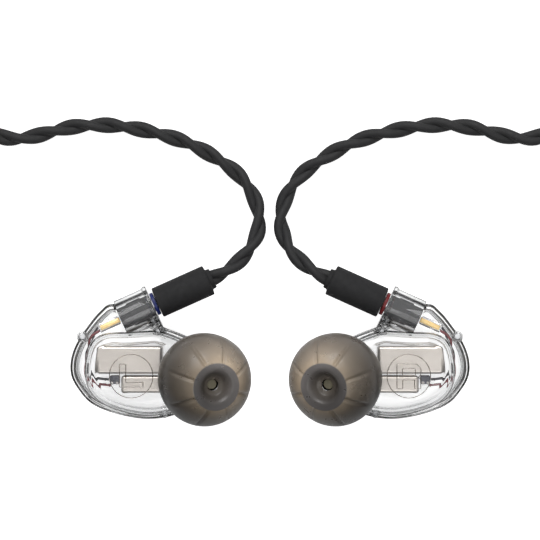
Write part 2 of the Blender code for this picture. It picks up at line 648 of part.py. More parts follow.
def wiring(side, materials):
    """Two wires, one above the other, from the gold terminal round the woofer to the board."""
    apart = WIRE_RADIUS + FACE_GAP
    end_gap = WIRE_RADIUS + FACE_GAP
    terminal = Vector((*CONNECTOR_POINT, SEAM_Z)) + CONNECTOR_AXIS * (TERMINAL_BACK - end_gap)
    route = [(terminal.x, terminal.y, SEAM_Z - WIRE_DROP)]
    for *offset, drop in WIRE_ROUTE:
        route.append((*driver_point(*offset), SEAM_Z - drop * MM))
    route.append((BOARD_X0 - end_gap, (BOARD_Y0 + TWEETER_Y1) / 2, SEAM_Z - WIRE_DROP))
    pieces = []
    for name, shift in (("_wire_red", -apart), ("_wire_dark", apart)):
        points = smooth_points([plan(side, *point) for point in route], WIRE_STEP)
        points[:, 2] += shift
        pieces.append(cord(side + name, points, WIRE_RADIUS, materials[name[1:]], resolution=1))
    return pieces


def sound_tubes(side, materials):
    """A tube from each driver's end to the back of the nozzle."""
    back = Vector((*TIP_CENTRE, TIP_HEIGHT)) - NOZZLE_AXIS * (NOZZLE_BACK + SEAT_GAP)
    across = Vector((-NOZZLE_AXIS.y, NOZZLE_AXIS.x, 0.0)).normalized()
    apart = SOUND_TUBE_RADIUS + FACE_GAP
    low = SEAM_Z - SOUND_TUBE_DROP
    starts = (
        ("_woofer_tube", Vector((WOOFER_X1 + SEAT_GAP, WOOFER_Y0 + WOOFER_WIDTH / 2, low)), apart),
        ("_tweeter_tube", Vector((TWEETER_X1 + SEAT_GAP, TWEETER_Y1 - TWEETER_WIDTH / 2, low)), -apart),
    )
    pieces = []
    for name, start, shift in starts:
        end = back + across * shift
        out = start + Vector((SOUND_TUBE_BEND, 0.0, 0.0))
        route = [start, out, end - NOZZLE_AXIS * SOUND_TUBE_BEND, end]
        points = smooth_points([plan(side, *point) for point in route], SOUND_TUBE_STEP)
        pieces.append(cord(side + name, points, SOUND_TUBE_RADIUS, materials["clear_tube"], resolution=1))
    return pieces


def nozzle(side, materials):
    """The sound outlet and the damper in its bore."""
    place = nozzle_matrix(side)
    outlet = pipe(NOZZLE_BORE, NOZZLE_RADIUS, -NOZZLE_BACK, NOZZLE_FRONT)
    damper_front = NOZZLE_FRONT - SEAT_GAP
    damper = rod(NOZZLE_BORE - FACE_GAP, damper_front - DAMPER_LENGTH, damper_front)
    return [
        turned(side + "_nozzle", outlet, MEDIUM, materials["clear_plastic"], place),
        turned(side + "_nozzle_damper", damper, SMALL, materials["damper_grey"], place),
    ]


def ear_tip(side, materials):
    """A mushroom-shaped tip: a stem over the nozzle and a dome with a hollow skirt."""
    stem = TIP_BORE + TIP_STEM_WALL
    outside = []
    for share in (0.0, 0.25, 0.5, 0.75, 1.0):
        angle = share * math.acos(TIP_DISC_RADIUS / TIP_RADIUS)
        outside.append((TIP_RADIUS * math.cos(angle), TIP_FRONT * math.sin(angle) / math.sin(
            math.acos(TIP_DISC_RADIUS / TIP_RADIUS))))
    rim = (TIP_RADIUS - 0.45 * MM, -TIP_SKIRT)
    inner = [(radius - TIP_WALL, height - TIP_WALL * 0.6) for radius, height in outside]
    neck = (stem, inner[-1][1] - TIP_WALL)
    seat = NOZZLE_FRONT + FACE_GAP
    profile = [(TIP_BORE, -TIP_STEM_BACK), (TIP_BORE, seat), (NOZZLE_BORE, seat),
               (NOZZLE_BORE, seat + TIP_LIP), (TIP_MOUTH_RADIUS, TIP_FRONT - FACE_GAP),
               (TIP_DISC_RADIUS - TIP_WALL, TIP_FRONT)]
    profile += outside[::-1]
    profile += [rim, (rim[0] - TIP_WALL, rim[1])]
    profile += inner[:-1]
    profile += [neck, (stem, -TIP_STEM_BACK)]
    return turned(side + "_ear_tip", profile, FINE, materials["smoke_silicone"], nozzle_matrix(side))


def branch_cords(materials):
    """The two free branches from the barrels to the coil."""
    corner = [(-x, y, z) for x, y, z in LEFT_ROUTE[:RIGHT_SHARED]]
    routes = {"left": LEFT_ROUTE, "right": tuple(corner) + RIGHT_ROUTE_END}
    for side, route in routes.items():
        points = smooth_points([plan("left", x * MM, y * MM, z * MM) for x, y, z in route], CORD_STEP)
        cord(side + "_branch_cord", points, CORD_DIAMETER / 2, materials["cord_black"])


def coil_section():
    """The coil's section as (radius, height): the pair below, the main cord's turns above."""
    edge = CORD_DIAMETER / 3
    return [
        (COIL_PAIR_INNER, COIL_FLOOR), (COIL_OUTER - edge, COIL_FLOOR), (COIL_OUTER, COIL_FLOOR + edge),
        (COIL_OUTER, COIL_STEP_Z - edge), (COIL_OUTER - edge, COIL_STEP_Z), (COIL_MAIN_OUTER, COIL_STEP_Z),
        (COIL_MAIN_OUTER, COIL_TOP_Z - edge), (COIL_MAIN_OUTER - edge, COIL_TOP_Z),
        (COIL_MAIN_INNER + edge, COIL_TOP_Z), (COIL_MAIN_INNER, COIL_TOP_Z - edge),
        (COIL_MAIN_INNER, COIL_STEP_Z), (COIL_PAIR_INNER, COIL_STEP_Z - edge),
    ]


def coil_place():
    """The coil's axis."""
    return Matrix.Translation(plan("left", *COIL_CENTRE, 0.0))


def coil_tie(number, angle, material):
    """A band round the coil's section at one angle, taut from corner to corner."""
    flat = math.cos(math.pi / COIL_SIDES)
    pair_inner = math.sqrt((COIL_PAIR_INNER * flat)**2 - (TIE_WIDTH / 2)**2)
    main_inner = math.sqrt((COIL_MAIN_INNER * flat)**2 - (TIE_WIDTH / 2)**2)
    loops = []
    for away in (FACE_GAP, FACE_GAP + TIE_THICKNESS):
        loops.append([
            (pair_inner - away, COIL_FLOOR - away), (COIL_OUTER + away, COIL_FLOOR - away),
            (COIL_OUTER + away, COIL_STEP_Z), (COIL_MAIN_OUTER + away, COIL_TOP_Z + away),
            (main_inner - away, COIL_TOP_Z + away), (main_inner - away, COIL_STEP_Z - CORD_DIAMETER),
        ])
    verts = []
    for across in (-TIE_WIDTH / 2, TIE_WIDTH / 2):
        for loop in loops:
            verts += [(radius, across, height) for radius, height in loop]
    count = len(loops[0])
    rows = [list(range(k * count, (k + 1) * count)) for k in range(4)]
    order = (rows[0], rows[1], rows[3], rows[2])
    faces = [face for row_a, row_b in zip(order, order[1:] + order[:1]) for face in ring_faces(row_a, row_b)]
    name = f"coil_tie_{number}"
    tie = add_object(name, solid_mesh(name, verts, faces), material)
    tie.matrix_world = coil_place() @ Matrix.Rotation(angle, 4, "Z")
    return tie


def y_split(materials):
    """The splitter, lying in the coil's middle against the pair's last turn."""
    half = SPLIT_LENGTH / 2
    reach = COIL_PAIR_INNER - SEAT_GAP
    offset = math.sqrt(reach**2 - half**2) - SPLIT_RADIUS
    outward = Vector((math.cos(SPLIT_ANGLE), math.sin(SPLIT_ANGLE), 0.0))
    along = Vector((-outward.y, outward.x, 0.0))
    height = max(SPLIT_RADIUS + FLOOR_GAP, COIL_FLOOR)
    centre = plan("left", *COIL_CENTRE, height) + outward * offset
    taper = SPLIT_RADIUS - CORD_DIAMETER / 2
    profile = [(0.0, -half), (SPLIT_RADIUS - taper / 4, -half), (SPLIT_RADIUS, -half + taper / 4),
               (SPLIT_RADIUS, half - 2 * taper), (CORD_DIAMETER / 2 + taper / 2, half), (0.0, half)]
    turned("y_split", profile, MEDIUM, materials["black_rubber"], axis_matrix(centre, along))


def main_cable(materials):
    """The coil with its ties, the splitter and the main cord's tail."""
    turned("cable_coil", coil_section(), COIL_SIDES, materials["cord_black"], coil_place())
    for number, angle in enumerate(TIE_ANGLES, start=1):
        coil_tie(number, angle, materials["black_rubber"])
    y_split(materials)
    points = smooth_points([plan("left", x * MM, y * MM, z * MM) for x, y, z in TAIL_ROUTE], CORD_DIAMETER)
    cord("main_cord", points, CORD_DIAMETER / 2, materials["cord_black"])


def audio_plug(materials):
    """The three-contact plug, lying on the table beside the coil with its tip towards +X."""
    place = axis_matrix(plan("left", *PLUG_POINT, PLUG_Z), Vector((1.0, 0.0, 0.0)))
    body_low = PLUG_RELIEF_LENGTH + FACE_GAP
    body_high = body_low + PLUG_BODY_LENGTH
    sleeve_low = body_high + FACE_GAP
    sleeve_high = sleeve_low + PLUG_SLEEVE_LENGTH
    ring_low = sleeve_high + PLUG_INSULATOR
    ring_high = ring_low + PLUG_RING_LENGTH
    tip_low = ring_high + PLUG_INSULATOR
    tip_high = tip_low + PLUG_TIP_LENGTH
    contact = PLUG_CONTACT_RADIUS
    collar = contact - FACE_GAP
    core = PLUG_CORE_RADIUS
    bore = core + FIT_GAP
    gap = FACE_GAP / 2
    relief = [(0.0, 0.0), (CORD_DIAMETER / 2 + FIT_GAP, 0.0), (PLUG_RELIEF_RADIUS, PLUG_RELIEF_LENGTH),
              (0.0, PLUG_RELIEF_LENGTH)]
    insulator = [(0.0, sleeve_low), (core, sleeve_low), (core, sleeve_high + gap),
                 (collar, sleeve_high + gap), (collar, ring_low - gap), (core, ring_low - gap),
                 (core, ring_high + gap), (collar, ring_high + gap), (collar, tip_low - gap),
                 (0.0, tip_low - gap)]
    waist = contact - PLUG_WAIST_DEPTH
    tip = [(0.0, tip_low), (waist, tip_low), (waist, tip_low + 0.3 * PLUG_TIP_LENGTH),
           (contact, tip_low + 0.5 * PLUG_TIP_LENGTH), (contact * 0.35, tip_high), (0.0, tip_high)]
    body = rod(PLUG_BODY_RADIUS, body_low, body_high, BARREL_EDGE * 2)
    turned("plug_strain_relief", relief, MEDIUM, materials["black_rubber"], place)
    turned("plug_body", body, FINE, materials["black_rubber"], place)
    turned("plug_core", insulator, MEDIUM, materials["black_rubber"], place)
    turned("plug_sleeve", pipe(bore, contact, sleeve_low, sleeve_high), MEDIUM, materials["gold"], place)
    turned("plug_ring_contact", pipe(bore, contact, ring_low, ring_high), MEDIUM, materials["gold"], place)
    turned("plug_tip", tip, MEDIUM, materials["gold"], place)


def earpiece(side, materials):
    """One earpiece on its swivel axis, with the ear tip on the nozzle's axis."""
    pieces = shells(side, materials) + socket(side, materials) + drivers(side, materials)
    pieces += wiring(side, materials) + sound_tubes(side, materials) + nozzle(side, materials)
    swivel = connector_matrix(side)
    carry(pieces, add_empty(side + "_swivel_axis", swivel), swivel)
    pull = nozzle_matrix(side)
    carry([ear_tip(side, materials)], add_empty(side + "_tip_axis", pull), pull)
    carry([connector(side, materials)], add_empty(side + "_plug_axis", swivel), swivel)


def main():
    """Build the pair and its cable."""
    clear_scene()
    materials = make_materials()
    for side in SIDES:
        earpiece(side, materials)
    branch_cords(materials)
    main_cable(materials)
    audio_plug(materials)


main()
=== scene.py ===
"""Looks of a pair of clear in-ear monitors on a twisted cable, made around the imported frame.

The pair lies on its faceplates and is seen from above. Plan points are in millimetres: X runs
from the left earpiece to the right one, Y towards the cable and Z up to the viewer. They are
written for the left earpiece, and the right one is its mirror image.
"""

import json
import math

import bmesh
import bpy
import numpy as np
from bpy.props import FloatProperty, FloatVectorProperty, IntProperty, PointerProperty
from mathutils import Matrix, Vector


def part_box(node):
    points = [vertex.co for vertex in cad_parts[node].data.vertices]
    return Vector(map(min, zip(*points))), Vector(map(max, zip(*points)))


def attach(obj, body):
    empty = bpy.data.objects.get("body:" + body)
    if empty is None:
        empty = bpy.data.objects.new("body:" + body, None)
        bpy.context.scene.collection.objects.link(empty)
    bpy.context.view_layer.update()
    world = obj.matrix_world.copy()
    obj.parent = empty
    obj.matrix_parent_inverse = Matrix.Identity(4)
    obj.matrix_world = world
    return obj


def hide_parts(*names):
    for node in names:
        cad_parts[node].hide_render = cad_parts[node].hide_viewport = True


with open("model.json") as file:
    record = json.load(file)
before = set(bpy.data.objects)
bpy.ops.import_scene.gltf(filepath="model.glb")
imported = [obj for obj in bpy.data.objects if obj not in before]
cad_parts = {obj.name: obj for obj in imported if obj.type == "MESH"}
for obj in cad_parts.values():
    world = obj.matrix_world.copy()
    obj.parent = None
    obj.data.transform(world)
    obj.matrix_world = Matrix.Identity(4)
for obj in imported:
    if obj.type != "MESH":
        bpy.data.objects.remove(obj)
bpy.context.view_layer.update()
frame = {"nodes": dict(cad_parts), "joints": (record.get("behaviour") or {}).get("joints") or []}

NODES = frame["nodes"]
JOINTS = {joint["name"]: joint for joint in frame["joints"]}

bl_info = {
    "name": "In-ear monitor looks",
    "version": (1, 0, 0),
    "blender": (4, 5, 0),
    "location": "View3D > Sidebar > Monitors",
    "description": "Builds the visible surfaces and finishes of a pair of in-ear monitors",
    "category": "Object",
}

MM = 0.001
SIDES = {"left": 1.0, "right": -1.0}
UP = np.array((0.0, 0.0, 1.0))

# The connector's and the nozzle's axes, from the frame's joints
CONNECTOR_PLAN_Y = -4.86 * MM
SWIVEL_POINT = np.array(JOINTS["left_swivel"]["pos_m"])
CONNECTOR_AXIS = np.array(JOINTS["left_swivel"]["axis"])
NOZZLE_AXIS = np.array(JOINTS["left_tip_pull"]["axis"])
PLAN_SHIFT = np.array((0.0, SWIVEL_POINT[1] - CONNECTOR_PLAN_Y, 0.0))
CONNECTOR_POINT = SWIVEL_POINT - PLAN_SHIFT
SEAM_Z = SWIVEL_POINT[2]

# The cords' routes, in plan millimetres
LEFT_ROUTE = (
    (-8.83, -1.34, 5.20), (-7.00, -0.45, 5.15), (-5.00, 0.95, 4.80), (-3.00, 3.10, 3.90),
    (-1.85, 5.60, 2.95), (-1.65, 8.10, 2.15), (-2.60, 11.30, 1.55), (-4.70, 14.20, 1.27),
    (-7.90, 16.60, 1.25), (-12.40, 19.00, 1.25), (-18.60, 20.80, 1.25), (-24.30, 21.60, 1.25),
    (-29.60, 21.30, 1.25), (-35.40, 19.90, 1.25), (-38.70, 19.60, 1.25), (-41.50, 20.60, 1.25),
    (-43.30, 22.80, 1.25), (-44.00, 26.00, 1.25), (-44.10, 31.00, 1.25), (-43.70, 36.00, 1.25),
    (-42.40, 40.60, 1.25), (-39.20, 43.00, 1.25), (-34.50, 43.70, 1.30), (-28.50, 43.60, 1.60),
)
RIGHT_SHARED = 20
RIGHT_ROUTE_END = (
    (42.30, 40.80, 1.25), (38.60, 43.40, 1.25), (32.00, 44.30, 1.25), (24.00, 44.60, 1.25),
    (15.50, 45.60, 1.25), (8.20, 48.40, 1.40), (3.60, 52.40, 2.10), (1.10, 56.80, 3.20),
)
TAIL_ROUTE = (
    (-0.40, 62.60, 10.60), (0.50, 66.20, 8.90), (1.40, 69.60, 6.70), (2.80, 72.70, 4.70),
    (4.80, 74.60, 3.40), (6.60, 75.00, 3.05), (8.05, 75.00, 3.05),
)

# The coil that the cable's put-away length is wound into, in plan millimetres and degrees
COIL_CENTRE = (-18.0, 61.2)
PAIR_RADIUS = 17.6
PAIR_START = -90.0
PAIR_END = 774.0
LEFT_LAYER = 1.75
RIGHT_LAYER = 4.15
MAIN_LAYER = 6.55
MAIN_RADII = (10.4, 12.8, 15.2)
MAIN_START = 255.0
MAIN_TURNS = 8
MAIN_END = 340.0
CROSSOVER = 60.0
SPLIT_ANGLE = 110.0
SPLIT_OFFSET = 6.65
SPLIT_HALF = 5.0
SPLIT_HEIGHT = 2.45
# Sections of the cable's fittings: radius and place along the axis, in millimetres
BARREL = ((0.0, 0.0), (2.3, 0.0), (2.3, 8.3), (1.55, 8.36), (1.5, 9.0), (1.25, 9.0), (1.25, 8.5), (0.0, 8.5))
COLOUR_RING = ((1.22, -0.6), (1.75, -0.6), (1.75, -0.1), (1.22, -0.1))
RING_COLOURS = {"left": (0.008, 0.018, 0.14), "right": (0.19, 0.012, 0.014)}
SPLITTER = ((0.0, -5.0), (2.1, -5.0), (2.4, -4.7), (2.4, -3.6), (2.25, -3.5), (2.25, -3.2), (2.4, -3.1), (2.4, -2.6),
            (2.25, -2.5), (2.25, -2.2), (2.4, -2.1), (2.4, 2.6), (1.8, 5.0), (0.0, 5.0))
TIE_LOOP = ((10.1, 0.25), (19.1, 0.25), (19.1, 5.35), (16.7, 12.85), (8.63, 12.85), (8.63, 2.95))
TIE_SECTION = ((-2.0, -0.2), (2.0, -0.2), (2.0, 0.2), (-2.0, 0.2))
TIE_ANGLES = (305.0, 30.0)
PLUG_POINT = (8.4, 75.0, 3.05)
PLUG_PARTS = {
    "strain_relief": ((0.0, 0.0), (1.26, 0.0), (1.26, -0.9), (1.45, -0.9), (1.5, 1.0), (1.3, 1.1), (1.35, 1.4), (1.55, 1.5), (1.65, 2.2),
                      (1.45, 2.3), (1.5, 2.6), (1.75, 2.7), (1.85, 3.4), (1.65, 3.5), (1.7, 3.8), (1.95, 3.9),
                      (2.1, 5.08), (0.0, 5.08)),
    "body": ((0.0, 5.1), (2.6, 5.1), (3.0, 5.6), (3.0, 15.8), (2.9, 15.9), (2.9, 16.2), (3.0, 16.3), (3.0, 18.6),
             (2.5, 19.1), (0.0, 19.1)),
    "core": ((0.0, 19.12), (0.8, 19.12), (0.8, 27.25), (1.65, 27.25), (1.65, 27.65), (0.8, 27.65), (0.8, 29.95),
             (1.65, 29.95), (1.65, 30.35), (0.0, 30.35)),
    "sleeve": ((0.92, 19.12), (1.75, 19.12), (1.75, 27.2), (0.92, 27.2), (0.92, 19.12)),
    "ring_contact": ((0.92, 27.7), (1.75, 27.7), (1.75, 29.9), (0.92, 29.9), (0.92, 27.7)),
    "tip": ((0.0, 30.4), (1.4, 30.4), (1.4, 31.42), (1.75, 32.1), (0.61, 33.8), (0.0, 33.8)),
}

# The earpiece, in plan millimetres for the left side
RIM_OUTLINE = (
    (-23.30, -5.00), (-25.30, -6.20), (-27.40, -8.80), (-28.85, -11.20), (-29.55, -13.50), (-29.45, -15.70),
    (-28.40, -17.70), (-26.60, -19.70), (-23.70, -21.05), (-20.10, -21.90), (-17.10, -22.05), (-14.10, -21.50),
    (-11.60, -20.50), (-9.20, -18.80), (-7.90, -15.70), (-8.80, -12.60), (-11.90, -10.05), (-16.10, -8.30),
    (-19.30, -6.40),
)
EAR_OUTLINE = (
    (-20.90, -9.15), (-23.90, -9.30), (-25.60, -9.95), (-26.60, -11.20), (-27.15, -13.20), (-27.30, -15.40),
    (-26.90, -17.30), (-25.70, -19.00), (-23.50, -20.35), (-20.10, -21.30), (-17.10, -21.50), (-14.10, -20.95),
    (-11.85, -19.95), (-9.70, -18.35), (-8.50, -15.70), (-9.35, -12.95), (-12.20, -10.60), (-16.20, -9.00),
    (-18.40, -9.00),
)
SHELL_MIDDLE = (-19.0, -14.3)
# Rows of the shells' walls: share of the ear side's outline in place of the rim's, distance in, height
FACEPLATE_ROWS = (
    (0, 2.1, 0.0), (0, 1.05, 0.17), (0, 0.5, 0.68), (0, 0.18, 1.6), (0, 0.03, 3.0), (0, 0.0, 5.14), (0, 0.9, 5.14),
    (0, 0.95, 4.2), (0, 1.15, 2.8), (0, 1.65, 1.8), (0, 2.3, 1.24), (0, 3.3, 0.9),
)
EAR_ROWS = (
    (1, 3.0, 10.4), (1, 1.8, 10.3), (1, 0.9, 9.9), (1, 0.3, 9.2), (1, 0.0, 8.3), (1, 0.0, 6.1), (0, 0.35, 6.1),
    (0, 0.35, 5.26), (1, 0.5, 5.26), (1, 0.5, 8.45), (1, 0.9, 9.0), (1, 1.6, 9.4), (1, 2.8, 9.5),
)
PIN_POINTS = ((-27.70, -9.85), (-16.50, -9.20), (-15.60, -21.00))
PIN_RADIUS = 0.4
BOSS_RADIUS = 0.85
MARK_POINT = (-20.4, -15.6)
MARK_RADIUS = 3.2
# Contours of the plain side letters, from the mark's centre
LETTERS = {
    "left": (
        ((-1.73, 1.77), (-1.73, -1.60), (1.73, -1.60), (1.73, -0.92), (-0.80, -0.92), (-0.80, 1.77)),
    ),
    "right": (
        ((-1.75, 1.80), (-1.75, -1.85), (-0.90, -1.85), (-0.90, -0.55), (0.85, -0.55), (0.85, -1.85),
         (1.75, -1.85), (1.75, -0.45), (1.40, -0.15), (1.75, 0.20), (1.75, 1.15), (1.15, 1.80)),
        ((-0.95, 1.15), (0.95, 1.15), (0.95, 0.15), (-0.95, 0.15)),
    ),
}
# Sections along the connector: radius and place along its axis
SLEEVE = ((2.05, -5.9), (2.85, -5.9), (2.85, -1.3), (3.05, -1.3), (3.05, -0.7), (2.05, -0.7))
SOCKET_SHOULDER = ((-1.35, 2.6, -2.6), (-0.7, 4.9, 2.6))
SOCKET_HOLE = ((0.0, -9.4), (0.65, -9.4), (0.65, -6.2), (2.97, -6.2), (2.97, -1.6), (3.17, -1.6), (3.17, 8.3),
               (0.0, 8.3))
# The jack's sections that are wider than its bore are squared with round corners
JACK = ((0.0, -5.9), (1.52, -5.9), (1.52, -4.3), (1.64, -4.2), (1.64, -2.1), (1.55, -2.0), (1.55, -0.9), (1.5, -0.9),
        (1.5, -4.7), (0.0, -4.7))
JACK_BORE = 1.5
JACK_SQUARE = 5.0
TERMINAL = ((-9.25, -0.5, -0.3), (-6.1, 0.5, 0.3))
# The nozzle's and the tip's sections: radius and place along the nozzle's axis
TIP_POINT = (-9.5, -16.1, 12.5)
TIP_RADIUS = 6.85
TIP_DISC = 3.5
TIP_FRONT = 5.2
TIP_SKIRT = 2.8
TIP_FLARE = 0.45
TIP_WALL = 0.6
TIP_STEM = 2.32
# Tints of the silicone from the tip's axis to its rim: share of the radius, and shares of the colour.
# The dark ring in the mouth's funnel is painted shadow, and the band just past the disc, lifted far above the
# colour, is painted light.
TIP_TINTS_AND_PAINTED_LIGHT = (
    (0.0, (0.80, 0.76, 0.66)), (0.30, (0.60, 0.63, 0.70)), (0.505, (0.74, 0.81, 0.97)), (0.525, (1.9, 1.8, 1.6)),
    (0.72, (1.20, 1.17, 1.11)), (1.0, (0.62, 0.63, 0.66)),
)
# Painted light and shade on each tip: the plan direction of its lighter side, and how much lighter and darker the
# two sides are made
TIP_PAINTED_LIT_SIDE = (0.62, 0.78)
TIP_PAINTED_LIGHT_CONTRAST = 0.82
TIP_MOUTH = ((1.52, -1.3), (1.52, 3.4), (0.85, 3.45), (0.85, 3.6), (1.55, 3.9), (2.1, 4.85), (2.5, 5.2), (3.45, 5.2))
NECK = ((1.55, -6.3), (3.4, -6.3), (2.85, -5.2), (2.45, -3.6), (2.2, -1.6), (1.55, -1.6))
NOZZLE = ((0.85, -6.9), (1.4, -6.9), (1.4, 3.3), (0.85, 3.3))
WIRE_RADIUS = 0.19
WIRE_ROUTE = (
    (-25.33, -8.73, 4.65), (-26.25, -9.80, 4.50), (-26.80, -11.70, 4.30), (-27.10, -13.50, 4.20),
)
WIRE_ENDS = {
    "wire_red": ((-27.00, -15.40, 4.00), (-26.00, -16.70, 4.25), (-23.55, -17.05, 4.70)),
    "wire_dark": ((-26.70, -15.10, 4.35), (-25.70, -15.95, 4.55), (-23.85, -16.20, 4.65)),
}
WIRE_COLOURS = {"wire_red": (0.20, 0.030, 0.035), "wire_dark": (0.022, 0.020, 0.026)}
WIRE_TURNS = 2.5


class CableSettings(bpy.types.PropertyGroup):
    """Sizes and colours of the twisted cable."""

    diameter: FloatProperty(name="Diameter", description="Width of the two strands side by side",
                            default=2.4 * MM, unit="LENGTH", precision=5)
    strand: FloatProperty(name="Strand", description="Diameter of one of the two strands",
                          default=1.4 * MM, unit="LENGTH", precision=5)
    pitch: FloatProperty(name="Pitch", description="Length of one full twist of the strands",
                         default=10.4 * MM, unit="LENGTH", precision=5)
    colour: FloatVectorProperty(name="Colour", description="Colour of the cable's jacket",
                                default=(0.022, 0.022, 0.023), subtype="COLOR")


class ShellSettings(bpy.types.PropertyGroup):
    """Sizes of the clear shells and their marks."""

    columns: IntProperty(name="Columns", description="Points round the shell's outline", default=320, min=40)
    rounding: FloatProperty(name="Rounding", description="How far the walls' corners are rounded",
                            default=0.18 * MM, unit="LENGTH", precision=5)
    mark_painted_shade_line: FloatProperty(name="Mark line", description="Width of a letter's contour",
                             default=0.13 * MM, unit="LENGTH", precision=5)


class TipSettings(bpy.types.PropertyGroup):
    """Sizes and colour of the silicone ear tips."""

    grooves: IntProperty(name="Grooves", description="Grooves round the dome", default=8, min=1)
    groove_start: FloatProperty(name="First groove", description="Angle of the first groove in degrees",
                                default=26.0)
    groove_width: FloatProperty(name="Groove width", description="Half width of a groove",
                                default=0.24 * MM, unit="LENGTH", precision=5)
    groove_depth: FloatProperty(name="Groove depth", description="Depth of a groove",
                                default=0.30 * MM, unit="LENGTH", precision=5)
    colour: FloatVectorProperty(name="Colour", description="Colour of the silicone",
                                default=(0.24, 0.205, 0.17), subtype="COLOR")


class StageSettings(bpy.types.PropertyGroup):
    """Camera and light."""

    frame_width: FloatProperty(name="Frame width", description="Width that the picture spans at the seam",
                               default=80.0 * MM, unit="LENGTH", precision=4)
    distance: FloatProperty(name="Distance", description="Camera's height above the seam",
                            default=0.62, unit="LENGTH")
    key_power: FloatProperty(name="Key light", description="Power of the softbox behind the cable",
                             default=1.2, unit="POWER")
    fill_power: FloatProperty(name="Fill light", description="Power of the softbox over the pair",
                              default=0.5, unit="POWER")


def unit(vectors):
    """Vectors scaled to length one."""
    return vectors / np.linalg.norm(vectors, axis=-1, keepdims=True)


def lay_out(side, points):
    """Plan points as places: X mirrored for the right side, Y moved to the frame's origin."""
    return np.asarray(points, float) * (SIDES[side], 1.0, 1.0) + PLAN_SHIFT


def smooth_path(points, step):
    """Points at an even step along the Catmull-Rom curve through the given ones."""
    points = np.asarray(points, float)
    padded = np.vstack([2 * points[0] - points[1], points, 2 * points[-1] - points[-2]])
    a, b, c, d = (padded[k:len(padded) - 3 + k, None] for k in range(4))
    t = np.linspace(0.0, 1.0, 16, endpoint=False)[None, :, None]
    cubic = 2 * b + (c - a) * t + (2 * a - 5 * b + 4 * c - d) * t**2 + (3 * b - a - 3 * c + d) * t**3
    dense = np.vstack([cubic.reshape(-1, points.shape[1]) / 2, points[-1:]])
    return even_steps(dense, step)


def even_steps(dense, step):
    """A polyline's points set again at an even step along it."""
    along = np.concatenate([[0.0], np.cumsum(np.linalg.norm(np.diff(dense, axis=0), axis=1))])
    wanted = np.linspace(0.0, along[-1], max(2, round(along[-1] / step) + 1))
    return np.column_stack([np.interp(wanted, along, column) for column in dense.T])


def square_frames(path, up=UP):
    """Tangent, sideways and lifting directions along a path, from its differences and an up vector."""
    tangent = unit(np.gradient(path, axis=0))
    across = unit(np.cross(up, tangent))
    return tangent, across, np.cross(tangent, across)


def closed_ends(grid, first, last):
    """A grid whose ends shrink to a point each."""
    columns = grid.shape[1]
    return np.concatenate([np.tile(first, (1, columns, 1)), grid, np.tile(last, (1, columns, 1))])


def tube(path, radius, columns=12, up=UP):
    """A round tube: at each point of the path a circle of the radius, square to the path."""
    _, across, lift = square_frames(path, up)
    angle = np.linspace(0.0, 2 * np.pi, columns, endpoint=False)[None, :, None]
    ring = np.cos(angle) * across[:, None] + np.sin(angle) * lift[:, None]
    return closed_ends(path[:, None] + radius * ring, path[0], path[-1])


def turned(point, axis, profile, columns=64, across=None, lift=None):
    """A turned shape: each (radius, height) of the profile is a ring about the axis at that height."""
    axis = unit(np.asarray(axis, float))
    if across is None:
        across = unit(np.cross(axis, (0.31, 0.83, 0.47)))
        lift = np.cross(axis, across)
    angle = np.linspace(0.0, 2 * np.pi, columns, endpoint=False)[:, None]
    ring = np.cos(angle) * across + np.sin(angle) * lift
    radius, height = np.asarray(profile, float).T[:, :, None, None]
    return np.asarray(point) + height * axis + radius * ring


def eased(profile, radius, steps=4, closed=False):
    """A profile whose corners are rounded by a quadratic curve that leaves each corner by the radius."""
    points = np.asarray(profile, float)
    before, after = np.roll(points, 1, axis=0), np.roll(points, -1, axis=0)
    if not closed:
        before[0], after[-1] = points[0], points[-1]
    reach_in, reach_out = (np.linalg.norm(other - points, axis=1)[:, None] for other in (before, after))
    start = points + (before - points) * np.minimum(0.45, radius / np.maximum(reach_in, 1e-9))
    end = points + (after - points) * np.minimum(0.45, radius / np.maximum(reach_out, 1e-9))
    t = np.linspace(0.0, 1.0, steps)[None, :, None]
    rounded = (1 - t)**2 * start[:, None] + 2 * t * (1 - t) * points[:, None] + t**2 * end[:, None]
    rounded = rounded.reshape(-1, points.shape[1])
    return np.vstack([rounded, rounded[:1]]) if closed else rounded


def rounded_box(low, high, radius, steps=5):
    """A box with rounded edges: each point of a small sphere is moved out to its octant's corner."""
    low, high = np.asarray(low, float), np.asarray(high, float)
    half, centre = (high - low) / 2, (high + low) / 2
    quarter = np.linspace(0.0, np.pi / 2, steps)
    turn = np.concatenate([quarter + k * np.pi / 2 for k in range(4)])
    rise = np.concatenate([quarter - np.pi / 2, quarter])
    inner = half - radius
    corner_x = np.repeat((1.0, -1.0, -1.0, 1.0), steps)
    corner_y = np.repeat((1.0, 1.0, -1.0, -1.0), steps)
    corner_z = np.repeat((-1.0, 1.0), steps)[:, None] + np.zeros(len(turn))
    x = corner_x * inner[0] + radius * np.cos(rise)[:, None] * np.cos(turn)
    y = corner_y * inner[1] + radius * np.cos(rise)[:, None] * np.sin(turn)
    z = corner_z * inner[2] + radius * np.sin(rise)[:, None]
    grid = np.stack([x, y, z], axis=-1) + centre
    return closed_ends(grid, centre - (0.0, 0.0, half[2]), centre + (0.0, 0.0, half[2]))


def skin(name, *grids, sharp=40.0):
    """One mesh from grids of points: columns run round a grid and close, rows run along it."""
    verts, faces, start = [], [], 0
    for grid in grids:
        rows, columns = grid.shape[:2]
        index = np.arange(rows * columns).reshape(rows, columns) + start
        beside = np.roll(index, -1, axis=1)
        faces.append(np.stack([index[:-1], beside[:-1], beside[1:], index[1:]], axis=-1).reshape(-1, 4))
        verts.append(grid.reshape(-1, 3))
        start += rows * columns
    mesh = bpy.data.meshes.new(name)
    mesh.from_pydata(np.concatenate(verts).tolist(), [], np.concatenate(faces).tolist())
    return seal(mesh, sharp)


